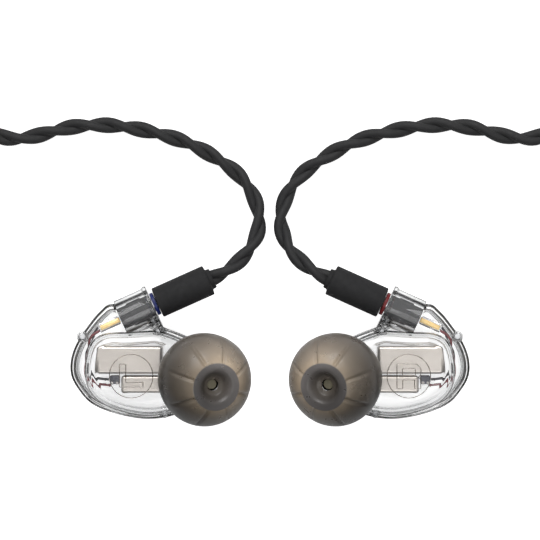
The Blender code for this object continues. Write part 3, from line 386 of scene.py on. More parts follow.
def seal(mesh, sharp=40.0):
    """Join a mesh's seams and poles, point its faces out and shade it smooth up to an angle."""
    work = bmesh.new()
    work.from_mesh(mesh)
    bmesh.ops.remove_doubles(work, verts=work.verts, dist=1e-7)
    bmesh.ops.dissolve_degenerate(work, edges=work.edges, dist=1e-8)
    bmesh.ops.recalc_face_normals(work, faces=work.faces)
    work.to_mesh(mesh)
    work.free()
    mesh.shade_smooth()
    mesh.set_sharp_from_angle(angle=math.radians(sharp))
    return mesh


def add_piece(name, mesh, finish, body, nodes=()):
    """Put a mesh into the scene as a piece that rides on a body and stands for CAD nodes."""
    piece = bpy.data.objects.new(name, mesh)
    bpy.context.scene.collection.objects.link(piece)
    mesh.materials.clear()
    mesh.materials.append(finish)
    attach(piece, body)
    if nodes:
        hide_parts(*nodes)
    return piece


def dress(node, finish):
    """Give a CAD node that stays in view its finish."""
    NODES[node].data.materials.clear()
    NODES[node].data.materials.append(finish)


# Finishes

def mottle_group():
    """Node group: soft noise as a value between two limits, and a finer one as a height."""
    group = bpy.data.node_groups.get("fine_mottle")
    if group:
        return group
    group = bpy.data.node_groups.new("fine_mottle", "ShaderNodeTree")
    face = group.interface
    for name, default in (("Scale", 900.0), ("Low", 0.0), ("High", 1.0), ("Grain", 6000.0)):
        face.new_socket(name, in_out="INPUT", socket_type="NodeSocketFloat").default_value = default
    face.new_socket("Value", in_out="OUTPUT", socket_type="NodeSocketFloat")
    face.new_socket("Height", in_out="OUTPUT", socket_type="NodeSocketFloat")
    nodes, links = group.nodes, group.links
    entry, leave = nodes.new("NodeGroupInput"), nodes.new("NodeGroupOutput")
    place = nodes.new("ShaderNodeTexCoord")
    broad, fine = nodes.new("ShaderNodeTexNoise"), nodes.new("ShaderNodeTexNoise")
    broad.inputs["Detail"].default_value = 3.0
    fine.inputs["Detail"].default_value = 2.0
    spread = nodes.new("ShaderNodeMapRange")
    spread.inputs["From Min"].default_value = 0.3
    spread.inputs["From Max"].default_value = 0.7
    links.new(place.outputs["Object"], broad.inputs["Vector"])
    links.new(place.outputs["Object"], fine.inputs["Vector"])
    links.new(entry.outputs["Scale"], broad.inputs["Scale"])
    links.new(entry.outputs["Grain"], fine.inputs["Scale"])
    links.new(broad.outputs["Fac"], spread.inputs["Value"])
    links.new(entry.outputs["Low"], spread.inputs["To Min"])
    links.new(entry.outputs["High"], spread.inputs["To Max"])
    links.new(spread.outputs["Result"], leave.inputs["Value"])
    links.new(fine.outputs["Fac"], leave.inputs["Height"])
    return group


def mottle(material, scale, low, high, grain=6000.0):
    """The fine mottle placed in a material with its own values."""
    node = material.node_tree.nodes.new("ShaderNodeGroup")
    node.node_tree = mottle_group()
    for name, value in (("Scale", scale), ("Low", low), ("High", high), ("Grain", grain)):
        node.inputs[name].default_value = value
    return node


def new_finish(name):
    """An empty material, its Principled shader and its links."""
    material = bpy.data.materials.new(name + "_look")
    material.use_nodes = True
    return material, material.node_tree.nodes["Principled BSDF"], material.node_tree.links


def tinted(material, colour, spread, amount):
    """A colour that drifts between a darker and a lighter shade by a mask."""
    mix = material.node_tree.nodes.new("ShaderNodeMix")
    mix.data_type = "RGBA"
    mix.inputs["A"].default_value = (*(channel * (1.0 - amount) for channel in colour), 1.0)
    mix.inputs["B"].default_value = (*(min(1.0, channel * (1.0 + amount)) for channel in colour), 1.0)
    material.node_tree.links.new(spread, mix.inputs["Factor"])
    return mix.outputs["Result"]


def bumped(material, height, distance, strength=0.5):
    """A Bump node that turns a height into a normal."""
    bump = material.node_tree.nodes.new("ShaderNodeBump")
    bump.inputs["Strength"].default_value = strength
    bump.inputs["Distance"].default_value = distance
    material.node_tree.links.new(height, bump.inputs["Height"])
    return bump.outputs["Normal"]


def solid_finish(name, colour, rough, metallic=0.0, drift=0.12, grain=5000.0, scale=900.0, gloss=0.5):
    """A solid surface: colour and roughness drift with soft noise, and a fine grain bumps it."""
    material = bpy.data.materials.get(name + "_look")
    if material:
        return material
    material, shader, links = new_finish(name)
    shade = mottle(material, scale, 0.0, 1.0, grain)
    polish = mottle(material, scale * 1.7, rough[0], rough[1], grain)
    links.new(tinted(material, colour, shade.outputs["Value"], drift), shader.inputs["Base Color"])
    links.new(polish.outputs["Value"], shader.inputs["Roughness"])
    links.new(bumped(material, shade.outputs["Height"], 0.02 * MM), shader.inputs["Normal"])
    shader.inputs["Metallic"].default_value = metallic
    shader.inputs["Specular IOR Level"].default_value = gloss
    return material


def clear_finish(name, colour, edge_painted_shade, rough, ior):
    """Clear plastic: it bends light, its gloss drifts a little, its colour greys towards grazing angles as painted
    shade on its edges, and lamp light passes to what is inside.
    """
    material = bpy.data.materials.get(name + "_look")
    if material:
        return material
    material, shader, links = new_finish(name)
    nodes = material.node_tree.nodes
    gloss = mottle(material, 500.0, rough[0], rough[1], 2500.0)
    shade = mottle(material, 260.0, 0.0, 1.0, 1800.0)
    # The colour greys towards grazing angles: painted shade on the plastic's edges, mixed in by the edge node
    slant, edge = nodes.new("ShaderNodeLayerWeight"), nodes.new("ShaderNodeMix")
    edge.data_type = "RGBA"
    edge.inputs["B"].default_value = (*edge_painted_shade, 1.0)
    slant.inputs["Blend"].default_value = 0.40
    links.new(slant.outputs["Facing"], edge.inputs["Factor"])
    links.new(tinted(material, colour, shade.outputs["Value"], 0.02), edge.inputs["A"])
    links.new(edge.outputs["Result"], shader.inputs["Base Color"])
    links.new(gloss.outputs["Value"], shader.inputs["Roughness"])
    links.new(bumped(material, shade.outputs["Height"], 0.005 * MM, 0.05), shader.inputs["Normal"])
    shader.inputs["Transmission Weight"].default_value = 1.0
    shader.inputs["IOR"].default_value = ior
    ray, passing, either = (nodes.new(kind) for kind in (
        "ShaderNodeLightPath", "ShaderNodeBsdfTransparent", "ShaderNodeMixShader"))
    passing.inputs["Color"].default_value = (0.90, 0.90, 0.90, 1.0)
    links.new(ray.outputs["Is Shadow Ray"], either.inputs["Fac"])
    links.new(shader.outputs["BSDF"], either.inputs[1])
    links.new(passing.outputs["BSDF"], either.inputs[2])
    links.new(either.outputs["Shader"], nodes["Material Output"].inputs["Surface"])
    return material


def pin_plastic():
    """The alignment pins, frosted."""
    return solid_finish("pin_plastic", (0.84, 0.85, 0.87), (0.30, 0.40), drift=0.03)


def clear_plastic():
    """The polished shells and socket sleeves."""
    # (0.42, 0.43, 0.44) is the painted shade at the shells' edges
    return clear_finish("clear_plastic", (0.992, 0.994, 0.995), (0.42, 0.43, 0.44), (0.0, 0.02), 1.49)


def black_soft_plastic():
    """The barrels, the splitter and the plug's body: matt black with a fine moulded grain."""
    return solid_finish("black_soft_plastic", (0.020, 0.020, 0.021), (0.70, 0.80), grain=7000.0, gloss=0.3)


def steel():
    """The connector's bright contacts."""
    return solid_finish("steel", (0.56, 0.56, 0.58), (0.25, 0.35), metallic=1.0, drift=0.06)


def gold():
    """Plated contacts."""
    return solid_finish("gold", (1.0, 0.71, 0.32), (0.34, 0.44), metallic=0.9, drift=0.05)


# Cable

def coil_points(angles, radii, heights):
    """Points round the coil's axis: its centre plus a radius at each angle, at a height."""
    turn = np.radians(angles)
    return np.column_stack([COIL_CENTRE[0] + radii * np.cos(turn), COIL_CENTRE[1] + radii * np.sin(turn),
                            heights + np.zeros(len(turn))])


def split_end(share):
    """A point on the splitter's axis, from -1 where the branches go in to 1 where the main cord leaves."""
    turn = math.radians(SPLIT_ANGLE)
    outward = np.array((math.cos(turn), math.sin(turn), 0.0))
    along = np.array((-outward[1], outward[0], 0.0))
    centre = np.array((*COIL_CENTRE, SPLIT_HEIGHT))
    return centre + outward * SPLIT_OFFSET + along * SPLIT_HALF * share, along


def branch_path(side, diameter):
    """A branch's line: its route, an inward spiral of 2.4 turns, and an easy bend into the splitter."""
    corner = tuple((-x, y, z) for x, y, z in LEFT_ROUTE[:RIGHT_SHARED])
    route = LEFT_ROUTE if side == "left" else corner + RIGHT_ROUTE_END
    layer = LEFT_LAYER if side == "left" else RIGHT_LAYER
    angles = np.arange(PAIR_START if side == "left" else 0.0, PAIR_END + 1.0, 18.0)
    turns = coil_points(angles, PAIR_RADIUS - diameter * (angles - PAIR_START) / 360.0, layer)
    entry, along = split_end(-1.0)
    entry = entry + (0.0, 0.0, -diameter / 2 if side == "left" else diameter / 2)
    last = turns[-1]
    reach = np.linalg.norm(entry - last)
    heading = unit(turns[-1] - turns[-2]) * reach
    t = np.array((0.33, 0.66, 1.0))[:, None]
    bend = ((2 * t**3 - 3 * t**2 + 1) * last + (t**3 - 2 * t**2 + t) * heading
            + (3 * t**2 - 2 * t**3) * entry + (t**3 - t**2) * along * reach)
    return lay_out("left", np.vstack([route, turns, bend]) * MM)


def main_path(diameter):
    """The main cord's line: out of the splitter, up the coil's inside, three layers of turns, and the tail.

    A turn keeps its radius and steps to the next turn's radius and height over its last sixth.
    """
    radii = np.array(MAIN_RADII + MAIN_RADII[::-1] + MAIN_RADII)
    layers = MAIN_LAYER + diameter * np.repeat((0, 1, 2), 3)
    angles = np.arange(MAIN_START, MAIN_END + 360.0 * MAIN_TURNS + 1.0, 15.0)
    turn = (angles - MAIN_START) / 360.0
    this = np.minimum(turn.astype(int), len(radii) - 1)
    following = np.minimum(this + 1, len(radii) - 1)
    late = np.clip((turn - this - 1.0) * 360.0 / CROSSOVER + 1.0, 0.0, 1.0)
    late = late**2 * (3 - 2 * late)
    turns = coil_points(angles, radii[this] + (radii[following] - radii[this]) * late,
                        layers[this] + (layers[following] - layers[this]) * late)
    climb_angles = np.array((163.0, 180.0, 200.0, 220.0, 240.0))
    climb = coil_points(climb_angles, np.array((9.2, 9.3, 9.3, 9.6, 10.2)), np.array((2.75, 3.7, 5.0, 6.1, 6.5)))
    leaving, _ = split_end(1.0)
    return lay_out("left", np.vstack([leaving, climb, turns, TAIL_ROUTE]) * MM)


def twisted_cord(name, path, cable):
    """Two strands that wind about the path: each is a tube set off from it, opposite the other."""
    _, across, lift = square_frames(path)
    along = np.concatenate([[0.0], np.cumsum(np.linalg.norm(np.diff(path, axis=0), axis=1))])
    strands = []
    for start in (0.0, np.pi):
        turn = (2 * np.pi * along / cable.pitch + start)[:, None]
        line = path + (cable.diameter - cable.strand) / 2 * (np.cos(turn) * across + np.sin(turn) * lift)
        strands.append(tube(line, cable.strand / 2, 12))
    return skin(name, *strands, sharp=60.0)


def cord_finish(cable):
    """The cable's smooth black jacket."""
    return solid_finish("cord_black", tuple(cable.colour), (0.60, 0.70), drift=0.10, grain=4000.0, gloss=0.4)


def turned_piece(name, place, profile, finish, nodes, edge=0.12):
    """A turned fitting of the cable, its edges eased."""
    mesh = skin(name, turned(*place, eased(np.array(profile) * MM, edge * MM)))
    return add_piece(name, mesh, finish, "cable", nodes)


def tie_grid(angle):
    """A band round the coil: a flat eased section carried round a closed loop that bends over the cords."""
    loop = eased(TIE_LOOP, 0.9, 6, closed=True)[:-1]
    ahead = unit(np.roll(loop, -1, axis=0) - np.roll(loop, 1, axis=0))
    out = np.column_stack([ahead[:, 1], -ahead[:, 0]])
    section = eased(TIE_SECTION, 0.15, closed=True)[:-1]
    place = loop[:, None] + section[None, :, 1:] * out[:, None]
    turn = math.radians(angle)
    along, across = np.array((math.cos(turn), math.sin(turn))), np.array((-math.sin(turn), math.cos(turn)))
    flat = place[..., :1] * along + section[None, :, :1] * across + np.array(COIL_CENTRE)
    grid = np.concatenate([flat, place[..., 1:]], axis=-1)
    return lay_out("left", np.concatenate([grid, grid[:1]]) * MM)


class MONITOR_OT_fittings(bpy.types.Operator):
    """Turn the connector barrels, their colour rings, the splitter and the plug, and bend the coil's ties."""

    bl_idname = "monitor.fittings"
    bl_label = "Turn the fittings"

    def execute(self, context):
        black = black_soft_plastic()
        for side in SIDES:
            place = connector_place(side)
            turned_piece(f"{side}_barrel", place, BARREL, black, [f"{side}_connector_barrel"],
                         0.2)
            colour = "blue_ring" if side == "left" else "red_ring"
            ring = turned(*place, eased(np.array(COLOUR_RING) * MM, 0.08 * MM, closed=True))
            add_piece(f"{side}_ring", skin(f"{side}_ring", ring), solid_finish(colour, RING_COLOURS[side], (0.35, 0.45)),
                      "cable", [f"{side}_colour_ring"])
            for node, finish in (("connector_shell", steel()), ("snap_ring", steel()), ("connector_pin", gold())):
                dress(f"{side}_{node}", finish)
        middle, along = split_end(0.0)
        turned_piece("splitter", (lay_out("left", middle * MM), along), SPLITTER, black, ["y_split"])
        for number, angle in enumerate(TIE_ANGLES, start=1):
            add_piece(f"tie_{number}", skin(f"tie_{number}", tie_grid(angle)), black, "cable",
                      [f"coil_tie_{number}"])
        place = lay_out("left", np.array(PLUG_POINT) * MM), (1.0, 0.0, 0.0)
        for name, profile in PLUG_PARTS.items():
            plated = name in ("sleeve", "ring_contact", "tip")
            turned_piece(f"audio_plug_{name}", place, profile, gold() if plated else black, [f"plug_{name}"],
                         0.1)
        return {"FINISHED"}


class MONITOR_OT_cords(bpy.types.Operator):
    """Lay the two branches and the main cord as twisted strands at their real length."""

    bl_idname = "monitor.cords"
    bl_label = "Lay the cords"

    def execute(self, context):
        cable = context.scene.monitor_cable
        diameter = cable.diameter
        finish = cord_finish(cable)
        for side in SIDES:
            path = smooth_path(branch_path(side, diameter / MM), 0.5 * MM)
            cord = add_piece(f"{side}_twisted_branch", twisted_cord(f"{side}_twisted_branch", path, cable),
                             finish, "cable", [f"{side}_branch_cord"])
        path = smooth_path(main_path(diameter / MM), 0.5 * MM)
        cord = add_piece("twisted_main_cord", twisted_cord("twisted_main_cord", path, cable),
                         finish, "cable", ["main_cord", "cable_coil"])
        return {"FINISHED"}


# Earpieces

def silicone(tip):
    """Smoky silicone: it lets some light through, and its colour runs with the distance from the tip's axis, with
    painted shadow and a painted lit band in it. A painted light and shade lightens one side of each tip and darkens
    the other.
    """
    material = bpy.data.materials.get("smoke_silicone_look")
    if material:
        return material
    material, shader, links = new_finish("smoke_silicone")
    nodes = material.node_tree.nodes
    shade = mottle(material, 220.0, 0.88, 1.12, 3000.0)
    gloss = mottle(material, 600.0, 0.26, 0.36, 3000.0)
    reach, painted_light_and_shade, ramp, depth, drift = (nodes.new(kind) for kind in (
        "ShaderNodeAttribute", "ShaderNodeAttribute", "ShaderNodeValToRGB", "ShaderNodeMath", "ShaderNodeMix"))
    reach.attribute_name = "reach"
    painted_light_and_shade.attribute_name = "painted_light_and_shade"
    depth.operation = "MULTIPLY"
    stops = ramp.color_ramp.elements
    # The ramp's stops hold the silicone's tints, with painted shadow in the mouth's funnel and a painted lit band
    # just past the disc
    for place, tint in TIP_TINTS_AND_PAINTED_LIGHT[1:-1]:
        stops.new(place)
    for stop, (place, tint) in zip(stops, TIP_TINTS_AND_PAINTED_LIGHT):
        stop.position = place
        stop.color = (*(channel * shade_of for channel, shade_of in zip(tip.colour, tint)), 1.0)
    drift.data_type = "RGBA"
    drift.blend_type = "MULTIPLY"
    drift.inputs["Factor"].default_value = 1.0
    links.new(reach.outputs["Fac"], ramp.inputs["Fac"])
    links.new(ramp.outputs["Color"], drift.inputs["A"])
    # The mottle times the painted light and shade, which lightens one side of the tip and darkens the other
    links.new(shade.outputs["Value"], depth.inputs[0])
    links.new(painted_light_and_shade.outputs["Fac"], depth.inputs[1])
    links.new(depth.outputs["Value"], drift.inputs["B"])
    links.new(drift.outputs["Result"], shader.inputs["Base Color"])
    links.new(gloss.outputs["Value"], shader.inputs["Roughness"])
    links.new(bumped(material, shade.outputs["Height"], 0.003 * MM, 0.1), shader.inputs["Normal"])
    shader.inputs["Transmission Weight"].default_value = 0.4
    shader.inputs["IOR"].default_value = 1.41
    return material


def mark_depths(mesh, side):
    """Store on each point its distance from the tip's axis, and a painted light and shade.

    The distance is a share of the tip's radius. The painted light and shade lighten the side of the tip towards the
    pair's middle and the cable, and darken the side towards its shell.
    """
    point, axis = nozzle_place(side)
    places = np.empty(len(mesh.vertices) * 3)
    mesh.vertices.foreach_get("co", places)
    away = places.reshape(-1, 3) - point
    reach = np.linalg.norm(np.cross(away, unit(axis)), axis=1) / (TIP_RADIUS * MM)
    bright = np.array((*TIP_PAINTED_LIT_SIDE, 0.0)) * (SIDES[side], 1.0, 1.0)
    painted_light_and_shade = 1.0 + TIP_PAINTED_LIGHT_CONTRAST * (away @ bright) / (TIP_RADIUS * MM)
    for name, values in (("reach", reach), ("painted_light_and_shade", painted_light_and_shade)):
        mesh.attributes.new(name, "FLOAT", "POINT").data.foreach_set("value", values)


def driver_metal():
    """The drivers' nickel cans: satin, brushed lengthwise by stretched noise, darker in its streaks."""
    material = bpy.data.materials.get("driver_metal_look")
    if material:
        return material
    material, shader, links = new_finish("driver_metal")
    nodes = material.node_tree.nodes
    place, stretch, streaks = (nodes.new(kind) for kind in (
        "ShaderNodeTexCoord", "ShaderNodeMapping", "ShaderNodeTexNoise"))
    stretch.inputs["Scale"].default_value = (250.0, 9000.0, 9000.0)
    streaks.inputs["Scale"].default_value = 1.0
    links.new(place.outputs["Object"], stretch.inputs["Vector"])
    links.new(stretch.outputs["Vector"], streaks.inputs["Vector"])
    links.new(tinted(material, (0.62, 0.575, 0.53), streaks.outputs["Fac"], 0.06), shader.inputs["Base Color"])
    gloss = mottle(material, 700.0, 0.30, 0.40)
    links.new(gloss.outputs["Value"], shader.inputs["Roughness"])
    links.new(bumped(material, streaks.outputs["Fac"], 0.004 * MM, 0.35), shader.inputs["Normal"])
    shader.inputs["Metallic"].default_value = 1.0
    return material


def reach_at(angles, outline):
    """How far a closed Catmull-Rom curve through an outline's points reaches from the shell's middle at angles."""
    points = np.array(outline) * MM
    away = smooth_path(np.vstack([points[-2:], points, points[:3]]), 0.05 * MM) - np.array(SHELL_MIDDLE) * MM
    return np.interp(angles, np.arctan2(away[:, 1], away[:, 0]), np.linalg.norm(away, axis=1), period=2 * np.pi)


def inset(angles, reach, distance):
    """A ring drawn in towards the shell's middle by a distance square to it, its bends evened out with depth."""
    outward = np.column_stack([np.cos(angles), np.sin(angles)])
    ring = outward * reach[:, None]
    along = unit(np.roll(ring, -1, axis=0) - np.roll(ring, 1, axis=0))
    lean = along[:, 1] * outward[:, 0] - along[:, 0] * outward[:, 1]
    drawn = reach - distance / np.maximum(lean, 0.6)
    for _ in range(int(max(0.0, distance) / (0.1 * MM))):
        drawn = 0.5 * drawn + 0.25 * (np.roll(drawn, 1) + np.roll(drawn, -1))
    return np.array(SHELL_MIDDLE) * MM + outward * drawn[:, None]


def shell_grid(side, shell, table):
    """A bowl: rings drawn in from the outlines, from the outer cap's middle over the rim to the inner cap's middle.

    A row blends the rim's and the ear side's reach by its share, and the rows' corners are rounded.
    """
    angles = np.linspace(-np.pi, np.pi, shell.columns, endpoint=False)
    rim, ear = reach_at(angles, RIM_OUTLINE), reach_at(angles, EAR_OUTLINE)
    rows = []
    for share, distance, height in eased(table, shell.rounding / MM, 5):
        ring = inset(angles, rim + (ear - rim) * share, distance * MM)
        rows.append(np.column_stack([ring, np.full(len(ring), height * MM)]))
    caps = []
    for row in (rows[0], rows[-1]):
        share = np.linspace(0.0, 1.0, 7)[:-1, None, None]
        middle = np.array((SHELL_MIDDLE[0] * MM, SHELL_MIDDLE[1] * MM, row[0][2]))
        caps.append(middle * (1 - share) + row * share)
    return lay_out(side, np.concatenate([caps[0], rows, caps[1][::-1]]))


def pin_bosses(side, low, high):
    """Three short tubes round the alignment pins: an eased ring section turned about each pin."""
    section = [(PIN_RADIUS + 0.12, low), (BOSS_RADIUS, low), (BOSS_RADIUS, high), (PIN_RADIUS + 0.12, high)]
    profile = eased(np.array(section) * MM, 0.14 * MM, closed=True)
    return [turned(lay_out(side, (x * MM, y * MM, 0.0)), UP, profile, 48) for x, y in PIN_POINTS]


def cut(mesh, tool):
    """A mesh with a tool mesh cut away."""
    items = [bpy.data.objects.new(name, data) for name, data in (("work", mesh), ("tool", tool))]
    for item in items:
        bpy.context.scene.collection.objects.link(item)
    step = items[0].modifiers.new("cut", "BOOLEAN")
    step.operation = "DIFFERENCE"
    step.object = items[1]
    bpy.context.view_layer.update()
    shaped = items[0].evaluated_get(bpy.context.evaluated_depsgraph_get())
    result = bpy.data.meshes.new_from_object(shaped)
    for item in items:
        bpy.data.objects.remove(item)
    return result


def connector_place(side):
    """The connector's zero and its axis on one side."""
    return lay_out(side, CONNECTOR_POINT), CONNECTOR_AXIS * (SIDES[side], 1.0, 1.0)


def nozzle_place(side):
    """The nozzle's zero, at the tip's widest section, and its axis on one side."""
    return lay_out(side, np.array(TIP_POINT) * MM), NOZZLE_AXIS * (SIDES[side], 1.0, 1.0)


def along_connector(side, low, high, radius):
    """A rounded box in the connector's own axes: along it, across it towards the tip, and up."""
    origin, axis = connector_place(side)
    across = np.array((axis[1] * SIDES[side], -axis[0] * SIDES[side], 0.0))
    grid = rounded_box(np.array(low) * MM, np.array(high) * MM, radius * MM)
    return origin + grid @ np.array((axis, across, UP))


class MONITOR_OT_shells(bpy.types.Operator):
    """Mould the clear halves of both shells, with their pin bosses, the socket's opening and the nozzle's neck."""

    bl_idname = "monitor.shells"
    bl_label = "Mould the shells"

    def execute(self, context):
        shell = context.scene.monitor_shell
        finish = clear_plastic()
        for side in SIDES:
            body = f"{side}_earpiece"
            origin, axis = connector_place(side)
            hole = skin("hole", turned(origin, axis, np.array(SOCKET_HOLE) * MM))
            halves = (
                ("faceplate_shell", "outer_shell", FACEPLATE_ROWS, (3.0, 5.05)),
                ("ear_shell", "inner_shell", EAR_ROWS, (5.35, 7.4)),
            )
            for name, node, rows, boss in halves:
                bowl = cut(skin("bowl", shell_grid(side, shell, rows)), hole)
                mesh = joined(f"{side}_{name}", bowl, skin("bosses", *pin_bosses(side, *boss)))
                if node == "inner_shell":
                    neck = turned(*nozzle_place(side), eased(np.array(NECK) * MM, 0.15 * MM, closed=True))
                    mesh = joined(f"{side}_{name}", mesh, skin("neck", neck))
                add_piece(f"{side}_{name}", mesh, finish, body, [f"{side}_{node}"])
            for number, (x, y) in enumerate(PIN_POINTS, start=1):
                place = lay_out(side, (x * MM, y * MM, SEAM_Z))
                pin = closed_rod(place, UP, PIN_RADIUS, -1.9, 1.9, 0.12, 32)
                add_piece(f"{side}_pin_{number}", skin(f"{side}_pin_{number}", pin), pin_plastic(), body,
                          [f"{side}_alignment_pin_{number}"])
        return {"FINISHED"}


def closed_rod(point, axis, radius, low, high, edge=0.0, columns=64):
    """A rod with eased ends, its sizes in millimetres."""
    profile = np.array([(0.0, low), (radius, low), (radius, high), (0.0, high)]) * MM
    return turned(point, axis, eased(profile, edge * MM) if edge else profile, columns)


def joined(name, *meshes):
    """Several meshes as one."""
    work = bmesh.new()
    for mesh in meshes:
        work.from_mesh(mesh)
    result = bpy.data.meshes.new(name)
    work.to_mesh(result)
    work.free()
    return seal(result)


class MONITOR_OT_marks(bpy.types.Operator):
    """Raise a thin ring on each shell's ear side, and in it the contour of a plain letter for its side, in a grey
    that is painted shade for the raised mark's dark edges.
    """

    bl_idname = "monitor.marks"
    bl_label = "Raise the side marks"

    def execute(self, context):
        width = context.scene.monitor_shell.mark_painted_shade_line
        # The beads' grey is painted shade: the dark lines that the raised clear mark's edges show
        line = clear_finish("mark_painted_shade_line", (0.42, 0.39, 0.36), (0.42, 0.39, 0.36), (0.2, 0.3), 1.45)
        turn = np.linspace(0.0, 2 * np.pi, 96, endpoint=False)
        ring = MARK_RADIUS * np.column_stack([np.cos(turn), np.sin(turn)])
        x, y = MARK_POINT
        for side in SIDES:
            centre = lay_out(side, np.array((x, y, EAR_ROWS[0][2])) * MM) + UP * (width / 2 + 0.02 * MM)
            contours = [letter_contour(centre, points, width / 2) for points in (ring, *LETTERS[side])]
            add_piece(f"{side}_mark", skin(f"{side}_mark", *contours), line, f"{side}_earpiece")
        return {"FINISHED"}


def letter_contour(centre, points, radius):
    """A contour of a letter: a thin round bead laid along a closed line with eased corners."""
    loop = eased(np.array(points) * MM, 0.12 * MM, closed=True)
    path = np.column_stack([loop, np.zeros(len(loop))]) + centre
    before, after = np.roll(path[:-1], 1, axis=0), np.roll(path[:-1], -1, axis=0)
    across = np.cross(UP, unit(after - before))
    angle = np.linspace(0.0, 2 * np.pi, 8, endpoint=False)[None, :, None]
    grid = path[:-1, None] + radius * (np.cos(angle) * across[:, None] + np.sin(angle) * UP)
    return np.concatenate([grid, grid[:1]])


class MONITOR_OT_sockets(bpy.types.Operator):
    """Turn the clear socket sleeves, the grey jacks inside them and their gold terminals."""

    bl_idname = "monitor.sockets"
    bl_label = "Turn the sockets"

    def execute(self, context):
        grey = solid_finish("jack_grey", (0.032, 0.032, 0.034), (0.50, 0.62), drift=0.15)
        for side in SIDES:
            body = f"{side}_earpiece"
            place = connector_place(side)
            sleeve = turned(*place, eased(np.array(SLEEVE) * MM, 0.12 * MM, closed=True))
            shoulder = along_connector(side, *SOCKET_SHOULDER, 0.2)
            add_piece(f"{side}_socket_sleeve", skin(f"{side}_socket_sleeve", sleeve, shoulder),
                      clear_plastic(), body, [f"{side}_socket_housing"])
            add_piece(f"{side}_jack", skin(f"{side}_jack", jack_grid(side)), grey, body, [f"{side}_jack_body"])
            terminal = along_connector(side, *TERMINAL, 0.12)
            add_piece(f"{side}_terminal", skin(f"{side}_terminal", terminal), gold(), body,
                      [f"{side}_jack_contact"])
        return {"FINISHED"}


def jack_grid(side):
    """The jack: a turned section whose outer rings are pushed out to a square with round corners.

    A ring's radius is divided by the root of the sum of its sine's and cosine's powers.
    """
    origin, axis = connector_place(side)
    profile = eased(np.array(JACK) * MM, 0.04 * MM)
    grid = turned(origin, axis, profile, 96, np.cross(UP, axis), UP)
    angle = np.linspace(0.0, 2 * np.pi, 96, endpoint=False)
    powers = np.abs(np.cos(angle))**JACK_SQUARE + np.abs(np.sin(angle))**JACK_SQUARE
    outer = profile[:, :1] > (JACK_BORE + 0.01) * MM
    factor = np.where(outer, powers**(-1.0 / JACK_SQUARE), 1.0)
    middle = origin + profile[:, 1:, None] * axis
    return middle + (grid - middle) * factor[..., None]


class MONITOR_OT_drivers(bpy.types.Operator):
    """Form the drivers' metal cans, the small board between them, its solder and the wires to it."""

    bl_idname = "monitor.drivers"
    bl_label = "Form the drivers"

    def execute(self, context):
        for side in SIDES:
            body = f"{side}_earpiece"
            for name in ("woofer", "tweeter"):
                can = add_piece(f"{side}_{name}_can", driver_can(f"{side}_{name}"), driver_metal(), body,
                                [f"{side}_{name}"])
                can.modifiers.new("flat_faces", "WEIGHTED_NORMAL").keep_sharp = True
            low, high = (np.array(corner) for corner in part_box(f"{side}_terminal_board"))
            board = skin(f"{side}_board", rounded_box(low, high, 0.12 * MM))
            blue = solid_finish("board_blue", (0.085, 0.088, 0.115), (0.35, 0.5), drift=0.2)
            add_piece(f"{side}_board", board, blue, body, [f"{side}_terminal_board"])
            pads = [solder((low[0] + share * (high[0] - low[0]), low[1] + 0.18 * MM, high[2]))
                    for share in (0.25, 0.75)]
            add_piece(f"{side}_solder", skin(f"{side}_solder", *pads),
                      solid_finish("solder", (0.55, 0.53, 0.52), (0.25, 0.35), metallic=1.0), body)
            for number, (name, colour) in enumerate(WIRE_COLOURS.items()):
                wire = skin(f"{side}_{name}_lead", tube(wire_path(side, name, number * np.pi), WIRE_RADIUS * MM, 12))
                add_piece(f"{side}_{name}_lead", wire, solid_finish(name, colour, (0.3, 0.4)), body,
                          [f"{side}_{name}"])
        return {"FINISHED"}


def wire_path(side, name, start):
    """A wire's line: the shared route and its own end, wound about the route and drawn onto it before the end."""
    path = smooth_path(np.vstack([WIRE_ROUTE, WIRE_ENDS[name]]) * MM, 0.12 * MM)
    _, across, lift = square_frames(path)
    along = np.linspace(0.0, 1.0, len(path))[:, None]
    turn = 2 * np.pi * WIRE_TURNS * along + start
    spread = (WIRE_RADIUS + 0.04) * MM * np.clip((0.75 - along) / 0.2, 0.0, 1.0)
    return lay_out(side, path + spread * (np.cos(turn) * across + np.sin(turn) * lift))


def driver_can(node):
    """A driver's can: a lower and an upper rounded shell with a fine seam between them, round a core."""
    low, high = (np.array(corner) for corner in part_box(node))
    middle = low[2] + 0.45 * (high[2] - low[2])
    edge = 0.42 * MM
    seam = 0.05 * MM
    lower = rounded_box(low, (high[0], high[1], middle - seam), edge)
    upper = rounded_box((low[0], low[1], middle + seam), high, edge)
    margin = np.array((edge, edge, edge))
    core = rounded_box(low + margin, high - margin, edge / 2)
    return skin(node + "_can", lower, core, upper)


def solder(point):
    """A dome of solder: a half ellipse turned about an upright axis."""
    angle = np.linspace(0.0, np.pi / 2, 6)
    profile = np.column_stack([0.24 * np.cos(angle), 0.16 * np.sin(angle)]) * MM
    return turned(point, UP, np.vstack([(0.0, 0.0), profile]), 20)


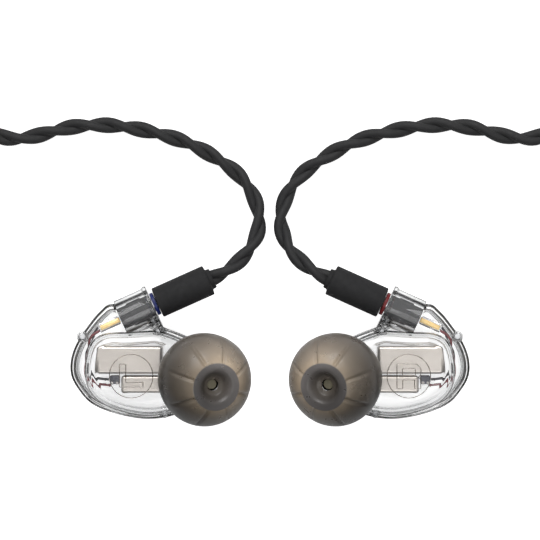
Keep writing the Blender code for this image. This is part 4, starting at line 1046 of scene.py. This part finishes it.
class MONITOR_OT_ear_tips(bpy.types.Operator):
    """Mould the silicone ear tips with their grooves, and the nozzles that they sit on."""

    bl_idname = "monitor.ear_tips"
    bl_label = "Mould the ear tips"

    def execute(self, context):
        tip = context.scene.monitor_tip
        for side in SIDES:
            place = nozzle_place(side)
            mesh = skin(f"{side}_silicone_tip", tip_grid(side, tip), sharp=60.0)
            mark_depths(mesh, side)
            add_piece(f"{side}_silicone_tip", mesh, silicone(tip), f"{side}_tip", [f"{side}_ear_tip"])
            dress(f"{side}_nozzle_damper", solid_finish("damper_grey", (0.20, 0.18, 0.12), (0.6, 0.7), grain=9000.0))
            for node in ("woofer_tube", "tweeter_tube"):
                # (0.7, 0.7, 0.69) is the painted shade at the tubes' edges
                dress(f"{side}_{node}", clear_finish("clear_tube", (0.93, 0.93, 0.92), (0.7, 0.7, 0.69), (0.1, 0.2), 1.43))
            pipe = eased(np.array(NOZZLE) * MM, 0.12 * MM, closed=True)
            add_piece(f"{side}_outlet", skin(f"{side}_outlet", turned(*place, pipe)), clear_plastic(),
                      f"{side}_earpiece", [f"{side}_nozzle"])
        return {"FINISHED"}


def tip_profile():
    """(radius, height) round the tip's section in metres, and which of its rows lie on the dome.

    It runs up the bore, out of the mouth, over the disc, down an elliptic dome and its skirt, and back inside.
    """
    widest = math.acos(TIP_DISC / TIP_RADIUS)
    angle = np.linspace(widest, 0.0, 30)
    dome = np.column_stack([TIP_RADIUS * np.cos(angle), TIP_FRONT * np.sin(angle) / math.sin(widest)])
    down = np.linspace(0.0, 1.0, 9)[1:]
    skirt = np.column_stack([TIP_RADIUS - TIP_FLARE * down**2, -TIP_SKIRT * down])
    mouth = eased(TIP_MOUTH, 0.2)
    rim = skirt[-1] - ((0.10, 0.10), (0.30, 0.14), (0.50, 0.08))
    lining = (dome - (TIP_WALL, 0.6 * TIP_WALL))[::-1]
    stem = ((TIP_STEM, lining[-1][1] - 0.9), (TIP_STEM, TIP_MOUTH[0][1]), TIP_MOUTH[0])
    parts = (mouth, dome, skirt, rim, lining, eased(stem, 0.3))
    on_dome = np.concatenate([np.full(len(part), part is dome) for part in parts])
    return np.vstack(parts) * MM, on_dome


def tip_grid(side, tip):
    """The ear tip: its section turned about the nozzle's axis, with grooves pressed into the dome.

    A groove is a bell curve across its width, times a window that fades out at the disc and at the rim.
    """
    origin, axis = nozzle_place(side)
    sideways = np.array((SIDES[side], 0.0, 0.0))
    across = unit(sideways - axis * (axis @ sideways))
    profile, on_dome = tip_profile()
    grid = turned(origin, axis, profile, 240, across, np.cross(axis, across) * SIDES[side])
    angle = np.linspace(0.0, 2 * np.pi, grid.shape[1], endpoint=False)
    step = 2 * np.pi / tip.grooves
    away = (angle - math.radians(tip.groove_start)) % step
    away = np.minimum(away, step - away) * profile[:, :1]
    share = (profile[:, :1] / MM - TIP_DISC) / (TIP_RADIUS - TIP_DISC)
    window = np.clip(share / 0.08, 0.0, 1.0) * np.clip((0.93 - share) / 0.2, 0.0, 1.0)
    depth = tip.groove_depth * np.exp(-(away / tip.groove_width)**2) * window * on_dome[:, None]
    return grid - depth[..., None] * unit(grid - origin)


# Stage

def world_light():
    """World: white to the camera, and to the object a dome that is brightest overhead and towards the cable.

    Rays that pass through the clear plastic meet a paler dome, as a tent round the object would give.
    """
    world = bpy.data.worlds.new("studio")
    bpy.context.scene.world = world
    world.use_nodes = True
    nodes, links = world.node_tree.nodes, world.node_tree.links
    dome = nodes["Background"]
    place, facing, ramp = (nodes.new(kind) for kind in (
        "ShaderNodeTexCoord", "ShaderNodeVectorMath", "ShaderNodeValToRGB"))
    facing.operation = "DOT_PRODUCT"
    facing.inputs[1].default_value = (0.10, 0.55, 0.83)
    ramp.color_ramp.elements[0].position = 0.0
    ramp.color_ramp.elements[0].color = (0.08, 0.08, 0.085, 1.0)
    ramp.color_ramp.elements[1].position = 0.80
    ramp.color_ramp.elements[1].color = (1.0, 1.0, 1.0, 1.0)
    links.new(place.outputs["Generated"], facing.inputs[0])
    links.new(facing.outputs["Value"], ramp.inputs["Fac"])
    links.new(ramp.outputs["Color"], dome.inputs["Color"])
    dome.inputs["Strength"].default_value = 0.6
    ray, pale, tent, white, through, either = (nodes.new(kind) for kind in (
        "ShaderNodeLightPath", "ShaderNodeMapRange", "ShaderNodeBackground", "ShaderNodeBackground",
        "ShaderNodeMixShader", "ShaderNodeMixShader"))
    for name, value in (("From Min", -0.6), ("From Max", 0.8), ("To Min", 0.08), ("To Max", 0.80)):
        pale.inputs[name].default_value = value
    links.new(facing.outputs["Value"], pale.inputs["Value"])
    links.new(pale.outputs["Result"], tent.inputs["Strength"])
    tent.inputs["Color"].default_value = (1.0, 1.0, 1.0, 1.0)
    white.inputs["Color"].default_value = (1.0, 1.0, 1.0, 1.0)
    links.new(ray.outputs["Is Transmission Ray"], through.inputs["Fac"])
    links.new(dome.outputs["Background"], through.inputs[1])
    links.new(tent.outputs["Background"], through.inputs[2])
    links.new(ray.outputs["Is Camera Ray"], either.inputs["Fac"])
    links.new(through.outputs["Shader"], either.inputs[1])
    links.new(white.outputs["Background"], either.inputs[2])
    links.new(either.outputs["Shader"], nodes["World Output"].inputs["Surface"])


def floor_finish():
    """Pale floor: a white surface that takes the shadow, lifted to white for rays that show the background.

    Rays that clear plastic bends far aside see it dim, as the dark surroundings of a lit table.
    """
    material, shader, links = new_finish("pale_floor")
    nodes = material.node_tree.nodes
    shade = mottle(material, 40.0, 0.0, 1.0)
    shader.inputs["Roughness"].default_value = 0.9
    shader.inputs["Specular IOR Level"].default_value = 0.0
    ray, seen, level = nodes.new("ShaderNodeLightPath"), nodes.new("ShaderNodeMath"), nodes.new("ShaderNodeMath")
    place, view, depth = (nodes.new(kind) for kind in (
        "ShaderNodeNewGeometry", "ShaderNodeVectorTransform", "ShaderNodeSeparateXYZ"))
    size, dim, bent = nodes.new("ShaderNodeMath"), nodes.new("ShaderNodeMapRange"), nodes.new("ShaderNodeMath")
    surface = nodes.new("ShaderNodeMix")
    view.vector_type, view.convert_from, view.convert_to = "VECTOR", "WORLD", "CAMERA"
    links.new(place.outputs["Incoming"], view.inputs["Vector"])
    links.new(view.outputs["Vector"], depth.inputs["Vector"])
    size.operation = "ABSOLUTE"
    links.new(depth.outputs["Z"], size.inputs[0])
    links.new(size.outputs["Value"], dim.inputs["Value"])
    for name, value in (("From Min", 0.79), ("From Max", 0.93), ("To Min", 1.0), ("To Max", 0.0)):
        dim.inputs[name].default_value = value
    bent.operation = "MULTIPLY"
    links.new(dim.outputs["Result"], bent.inputs[0])
    links.new(ray.outputs["Is Transmission Ray"], bent.inputs[1])
    surface.data_type = "RGBA"
    surface.inputs["B"].default_value = (0.06, 0.06, 0.06, 1.0)
    links.new(bent.outputs["Value"], surface.inputs["Factor"])
    links.new(tinted(material, (0.90, 0.90, 0.90), shade.outputs["Value"], 0.01), surface.inputs["A"])
    links.new(surface.outputs["Result"], shader.inputs["Base Color"])
    for node in (seen, level):
        node.operation = "MULTIPLY_ADD"
    straight = nodes.new("ShaderNodeMath")
    straight.operation = "SUBTRACT"
    links.new(ray.outputs["Is Transmission Ray"], straight.inputs[0])
    links.new(bent.outputs["Value"], straight.inputs[1])
    links.new(straight.outputs["Value"], seen.inputs[0])
    seen.inputs[1].default_value = 0.66
    seen.inputs[2].default_value = 0.0
    links.new(ray.outputs["Is Camera Ray"], level.inputs[0])
    level.inputs[1].default_value = 0.80
    links.new(seen.outputs["Value"], level.inputs[2])
    links.new(level.outputs["Value"], shader.inputs["Emission Strength"])
    shader.inputs["Emission Color"].default_value = (1.0, 1.0, 1.0, 1.0)
    return material


def softbox(name, place, target, size, power):
    """A square area lamp that faces a target."""
    lamp = bpy.data.lights.new(name, "AREA")
    lamp.shape = "SQUARE"
    lamp.size = size
    lamp.energy = power
    item = bpy.data.objects.new(name, lamp)
    bpy.context.scene.collection.objects.link(item)
    away = Vector(place) - Vector(target)
    item.location = place
    item.rotation_euler = away.to_track_quat("Z", "Y").to_euler()


class MONITOR_OT_stage(bpy.types.Operator):
    """Set the floor, the lamps and a camera that looks straight down at the pair."""

    bl_idname = "monitor.stage"
    bl_label = "Set the stage"

    def execute(self, context):
        stage = context.scene.monitor_stage
        reach = 1.2
        below = -0.03 * MM
        mesh = bpy.data.meshes.new("floor")
        corners = [(-reach, -reach, below), (reach, -reach, below), (reach, reach, below), (-reach, reach, below)]
        mesh.from_pydata(corners, [], [(0, 1, 2, 3)])
        mesh.materials.append(floor_finish())
        floor = bpy.data.objects.new("floor", mesh)
        context.scene.collection.objects.link(floor)
        world_light()
        target = (0.0, 0.0, SEAM_Z)
        softbox("key_softbox", (-0.06, 0.34, 0.36), target, 0.30, stage.key_power)
        softbox("fill_softbox", (0.10, -0.22, 0.50), target, 0.30, stage.fill_power)
        camera = bpy.data.objects.new("camera", bpy.data.cameras.new("camera"))
        camera.data.lens = camera.data.sensor_width * stage.distance / stage.frame_width
        camera.location = PLAN_SHIFT + UP * (SEAM_Z + stage.distance)
        camera.data.clip_start = 0.01
        context.scene.collection.objects.link(camera)
        context.scene.camera = camera
        context.scene.view_settings.view_transform = "Standard"
        return {"FINISHED"}


class MONITOR_PT_pieces(bpy.types.Panel):
    """The steps that build the pair, in order."""

    bl_idname = "MONITOR_PT_pieces"
    bl_label = "Monitors"
    bl_space_type = "VIEW_3D"
    bl_region_type = "UI"
    bl_category = "Monitors"

    def draw(self, context):
        for step in STEPS:
            self.layout.operator(step.bl_idname)


SETTINGS = {"monitor_cable": CableSettings, "monitor_shell": ShellSettings, "monitor_tip": TipSettings,
            "monitor_stage": StageSettings}
STEPS = (MONITOR_OT_stage, MONITOR_OT_fittings, MONITOR_OT_cords, MONITOR_OT_shells, MONITOR_OT_marks, MONITOR_OT_sockets,
         MONITOR_OT_drivers, MONITOR_OT_ear_tips)


def register():
    """Add the settings, the steps and the panel to Blender."""
    for kind in (*SETTINGS.values(), *STEPS, MONITOR_PT_pieces):
        bpy.utils.register_class(kind)
    for name, kind in SETTINGS.items():
        setattr(bpy.types.Scene, name, PointerProperty(type=kind))


def unregister():
    """Take them out again."""
    for name in SETTINGS:
        delattr(bpy.types.Scene, name)
    for kind in reversed((*SETTINGS.values(), *STEPS, MONITOR_PT_pieces)):
        bpy.utils.unregister_class(kind)


def main():
    """Build every piece in order."""
    register()
    for step in STEPS:
        group, name = step.bl_idname.split(".")
        getattr(getattr(bpy.ops, group), name)()


if __name__ == "__main__":
    main()
